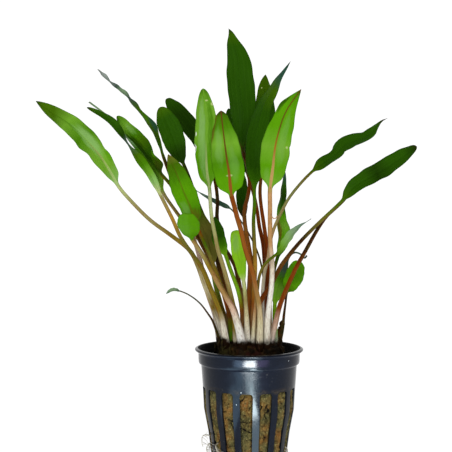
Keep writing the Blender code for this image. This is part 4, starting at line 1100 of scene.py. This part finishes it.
grow("leaf_centre_back", "dark_leaf", "tan orange rust rust rust brown", "deep deep dark dark dark",
     base=(4.0, 8.8),
     stem=[(6.6, 71.8, 9.2), (8.1, 81.9, 9.8), (8.4, 92.1, 10), (7.9, 102.3, 10.5), (7.1, 111, 11),
           (5.3, 119.1, 11.5), (4.1, 127.8, 12), (2.5, 135.4, 12.5), (-0.5, 145.6, 14)],
     blade=[(-3.1, 153.2, 16), (-5.6, 161.9, 18), (-8.1, 170, 20), (-10.4, 179.5, 23)], width=11.0,
     face=(0.2, -1, 0), taper=0.7)
grow("leaf_tallest", "dark_leaf", "pink orange orange orange brown rust umber",
     "dark dark dark dark dark dark moss", tip=("ink", 0.8), base=(0.2, 1.0),
     stem=[(-0.5, 71.8, 1), (0, 81.9, 1), (0.8, 92.1, 0.5), (1, 101.3, 0), (-0.3, 110, 0), (-2, 120.1, 0),
           (-2.3, 127.8, 0.5), (-0.5, 134.9, 1.5), (0.3, 142, 2.5), (-1, 150.7, 3.5), (-3.1, 158.3, 4.5)],
     blade=[(-2.8, 173.6, 6), (-3.6, 183.7, 7.5), (-4.5, 192.9, 9), (-5.3, 204.1, 10.5), (-7.2, 211.7, 11.5),
            (-10.4, 220.1, 13)], width=14.6, face=(0.1, -1, 0.1), fullness=0.6, taper=0.63, wave=0.4,
     bumps=((-1, 0.95, -1.3, 0.06), (1, 0.87, -1.7, 0.1)))
grow("leaf_upper_right_back", "dark_leaf", "tan rust rust rust rust brown", "brown deep dark dark moss moss",
     patches=[(-0.45, 1.83, 0.16, 0.012, "pale", 1.0)], base=(8.7, 6.6),
     stem=[(9.4, 76.9, 6.5), (9.7, 89.6, 6.3), (9.2, 101.3, 6), (8.9, 110, 6), (7.6, 120.1, 6),
           (6.1, 130.3, 6.5), (5.6, 137.9, 7), (6.6, 148.1, 8)],
     blade=[(7.6, 159.3, 10), (8.1, 171, 13), (8.1, 181.2, 16), (7.9, 190, 19), (8.4, 196.7, 22)],
     width=11.5, face=(0, -1, 0))
grow("leaf_upper_right_curled", "dark_leaf", "tan tan orange gold gold olive moss grass",
     "grass dark dark dark dark moss teal teal", base=(1.5, -3.2),
     stem=[(2, 74.3, -3.2), (2.5, 87, -3.3), (3.1, 99.8, -3.5), (2.5, 115, -3.5), (2.3, 122.7, -3.5),
           (2.8, 130.3, -3.2), (2.7, 137, -3)],
     blade=[(2.8, 147.1, -2.5), (2.8, 157.3, -1.5), (3.6, 166, 0), (5.6, 174.6, 2), (8.1, 182.2, 4),
            (11.8, 188.5, 6), (15.2, 194.8, 8), (21.2, 203.3, 11)], width=11.6, face=(0.15, -0.98, 0),
     face_tip=(0.8, -0.5, -0.4), fullness=0.6, taper=1)
# Painted shade: the deep patch of this leaf darkens the bent upper-left margin of the blade, which lies in
# shade
grow("leaf_centre_right", "bright_leaf", "foot foot white foot tan tan tan",
     "leafy bright leafy bright bright grass", rib="tan tan orange brown brown brown", tip=("umber", 0.7),
     patches=[(0.4, 1.5, 0.35, 0.35, "sheen", 0.25), (-0.45, 1.12, 0.3, 0.1, "sheen", 0.2),
              (-0.85, 1.8, 0.4, 0.12, "deep", 0.8), (0.8, 1.42, 0.12, 0.02, "pale", 0.9)],
     bits=[(0.28, 0.8, [(11.6, 127, -11.5), (11.4, 124.6, -13), (12.6, 123.3, -13.4),
                        (13.9, 123.7, -13.2), (14.4, 124.8, -12.8)])],
     base=(9.0, -8.0),
     stem=[(9.2, 69.2, -8.3), (10.2, 79.4, -8.7), (11.5, 89.6, -9.2), (11.7, 101.3, -9.7),
           (10.9, 110, -10.2), (10.7, 120.1, -11), (10.7, 130.3, -12), (10.7, 138, -13)],
     blade=[(12, 148.1, -14), (13.5, 160.8, -15.5), (16.4, 171.8, -17.5), (18.9, 178, -19),
            (22.1, 183.1, -20.5), (26.5, 189.1, -23)], width=14, face=(0.05, -1, 0.05), stalk=(1.4, 1.1),
     fullness=0.55, taper=0.9,
     bumps=((-1, 0.5, -0.5, 0.14), (-1, 0.68, -0.5, 0.1), (-1, 0.8, 0.5, 0.05), (1, 0.65, 0.35, 0.15),
            (1, 0.42, -0.35, 0.02)))

# On the right, and the foot of an old leaf
grow("leaf_right_wavy", "dark_leaf", "white white foot cream tan khaki sage olive",
     "moss dark dark dark dark dark umber", base=(7.1, -0.5),
     stem=[(7.1, 69.2, -0.3), (6.9, 79.4, -0.2), (7, 87, 0), (8, 96.2, 0), (9.7, 103.3, 0), (10.9, 112, 0),
           (13.2, 119.6, 1), (16.8, 127.3, 1.5), (20.4, 133.9, 2), (26, 141, 2), (31.6, 146.8, 1)],
     blade=[(38.6, 152.4, -0.8), (44.2, 156.3, -2), (47.4, 159.9, -2.8), (53, 162.7, -4.5),
            (57.9, 164.3, -6), (61.9, 166.7, -7.2), (64.7, 170, -8.2), (67.5, 172.9, -9.4),
            (70.3, 174.5, -10.5)], width=8.6, face=(-0.35, -0.8, 0.5), fullness=0.5, taper=0.75, wave=0.5,
     waves=2.5,
     bumps=((1, 0.27, 1.3, 0.09), (1, 0.64, 0.5, 0.09), (-1, 0.48, 0.4, 0.08), (1, 0.9, -1.0, 0.09),
            (-1, 0.88, -1.0, 0.1)), stalk=(0.95, 0.75), waist=(1.1, 0.31, 0.1))
grow("leaf_far_right", "dark_leaf", "cream tan rust brown brown umber olive moss",
     "moss dark dark deep dark dark deep", tip=("umber", 0.45), base=(4.3, -5.5),
     stem=[(3.6, 71.8, -5.3), (4.6, 77.9, -5), (6.6, 82.7, -4.5), (9.2, 86.5, -4.3), (11.7, 90.6, -4.3),
           (14.3, 95.7, -4.5), (17.3, 100.8, -5), (26, 111.5, -6.5), (36.1, 121.7, -8.5),
           (46.8, 131.8, -10.5)],
     blade=[(53.4, 139.5, -11.5), (60.7, 144.1, -12.5), (69.8, 149.2, -14), (78, 154.7, -16),
            (85.4, 160.1, -18)], width=9.8, face=(-0.1, -0.85, 0.5), fullness=0.6, taper=0.5,
     stalk=(1.3, 0.85))
grow("leaf_far_right_back", "dark_leaf", "white pink rust rust rust umber umber umber ink",
     "deep deep dark dark", base=(11.0, -3.4),
     stem=[(13.2, 69.2, -4.3), (15.8, 79.4, -6), (19.3, 88.1, -7.5), (23.9, 98.2, -8), (29, 107.4, -7),
           (34.1, 116.6, -5.5), (39.2, 124.2, -3.5), (43.8, 128.5, -2), (47.8, 132.3, 0)],
     blade=[(53.4, 139.2, 3), (59.6, 143, 6), (66.7, 146.8, 9), (74.8, 152.2, 12)], width=8.0,
     face=(-0.2, -0.6, 0.75), stalk=(1.3, 0.85))
grow("leaf_right_twisted", "dark_leaf", "white tan rust dark",
     "dark grass bright leafy bright dark deep dark teal teal",
     patches=[(-0.6, 1.33, 0.5, 0.2, "brown", 0.9)], base=(10.4, 3.2),
     stem=[(10.7, 81.9, 3.5), (12.2, 94.7, 4), (14.3, 102.8, 5)],
     blade=[(16.3, 109, 6), (17.6, 116, 7), (16.3, 122.7, 8), (16, 127.8, 9), (17.1, 135.4, 10.5),
            (17.8, 143, 12), (18.3, 150.2, 13.5)], width=7.0, face=(0.2, -0.95, 0), face_tip=(0.9, -0.3, 0),
     stalk=(1.2, 0.9), fullness=0.5, wave=0.4)
grow("leaf_right_grey", "grey_leaf", "white cream tan olive olive moss",
     "moss leafy sheen silver grey slate", base=(2.0, -7.6),
     stem=[(3.3, 77.9, -8), (4.3, 87, -9.2), (5.3, 94.2, -11.8), (7.1, 98.7, -13.3), (10.2, 102.3, -14.3),
           (13.2, 104.6, -15)],
     blade=[(16.3, 107.4, -15.7), (19.3, 112, -16.5), (21.9, 115.5, -17), (26, 119.6, -18),
            (31.6, 123.4, -20)], width=6.2, face=(-0.5, -0.6, 0.6), stalk=(1.0, 0.7), taper=1.2,
     bumps=((0, 0.72, -0.6, 0.12), (0, 0.88, -0.6, 0.1)))
grow("leaf_low_right_curled", "bright_leaf", "white lime lime",
     "lime leafy leafy grass slate slate umber grey umber", base=(13.2, 1.0),
     stem=[(13.1, 70, 1.2), (13.1, 79, 1.5)],
     blade=[(14, 85.5, 2), (15.5, 92.1, 2.5), (17.6, 98.2, 3), (19.1, 102.8, 3.5), (21.4, 105.4, 4),
            (23.9, 106.1, 4), (26.5, 105.1, 4), (28.2, 103.3, 4), (29.5, 104.6, 4)], width=6.6,
     face=(0, -1, 0), stalk=(1.2, 1.0), fullness=0.8, taper=2.2, least=0.45, bumps=((-1, 0.4, 0.8, 0.08),))
grow("leaf_low_right_round", "bright_leaf", "umber ink umber umber", "moss bright grass grass bright",
     base=(15.6, -2.6),
     stem=[(17.1, 67.7, -2.6), (17.8, 74.3, -2.5), (18.6, 80.4, -2.3), (19.3, 85.5, -2)],
     blade=[(20.9, 89.6, -1.5), (23.2, 94.7, -1), (24.4, 98.7, -0.5), (25.2, 102, 0)], width=9.4,
     face=(0.1, -1, 0.2), stalk=(0.8, 0.55), fullness=0.5, taper=0.45)
grow("old_leaf_stub", "crown", "umber umber brown umber", "umber umber", base=(14.8, 4.6),
     stem=[(15.6, 64.5, 4.4), (16.4, 68, 4.2)], blade=[(16.9, 70, 4.1), (17.3, 71.8, 4)], width=3.0,
     face=(0, -1, 0), stalk=(1.6, 1.2), fold=0.0)

make_roots()
make_studio(pot_piece)
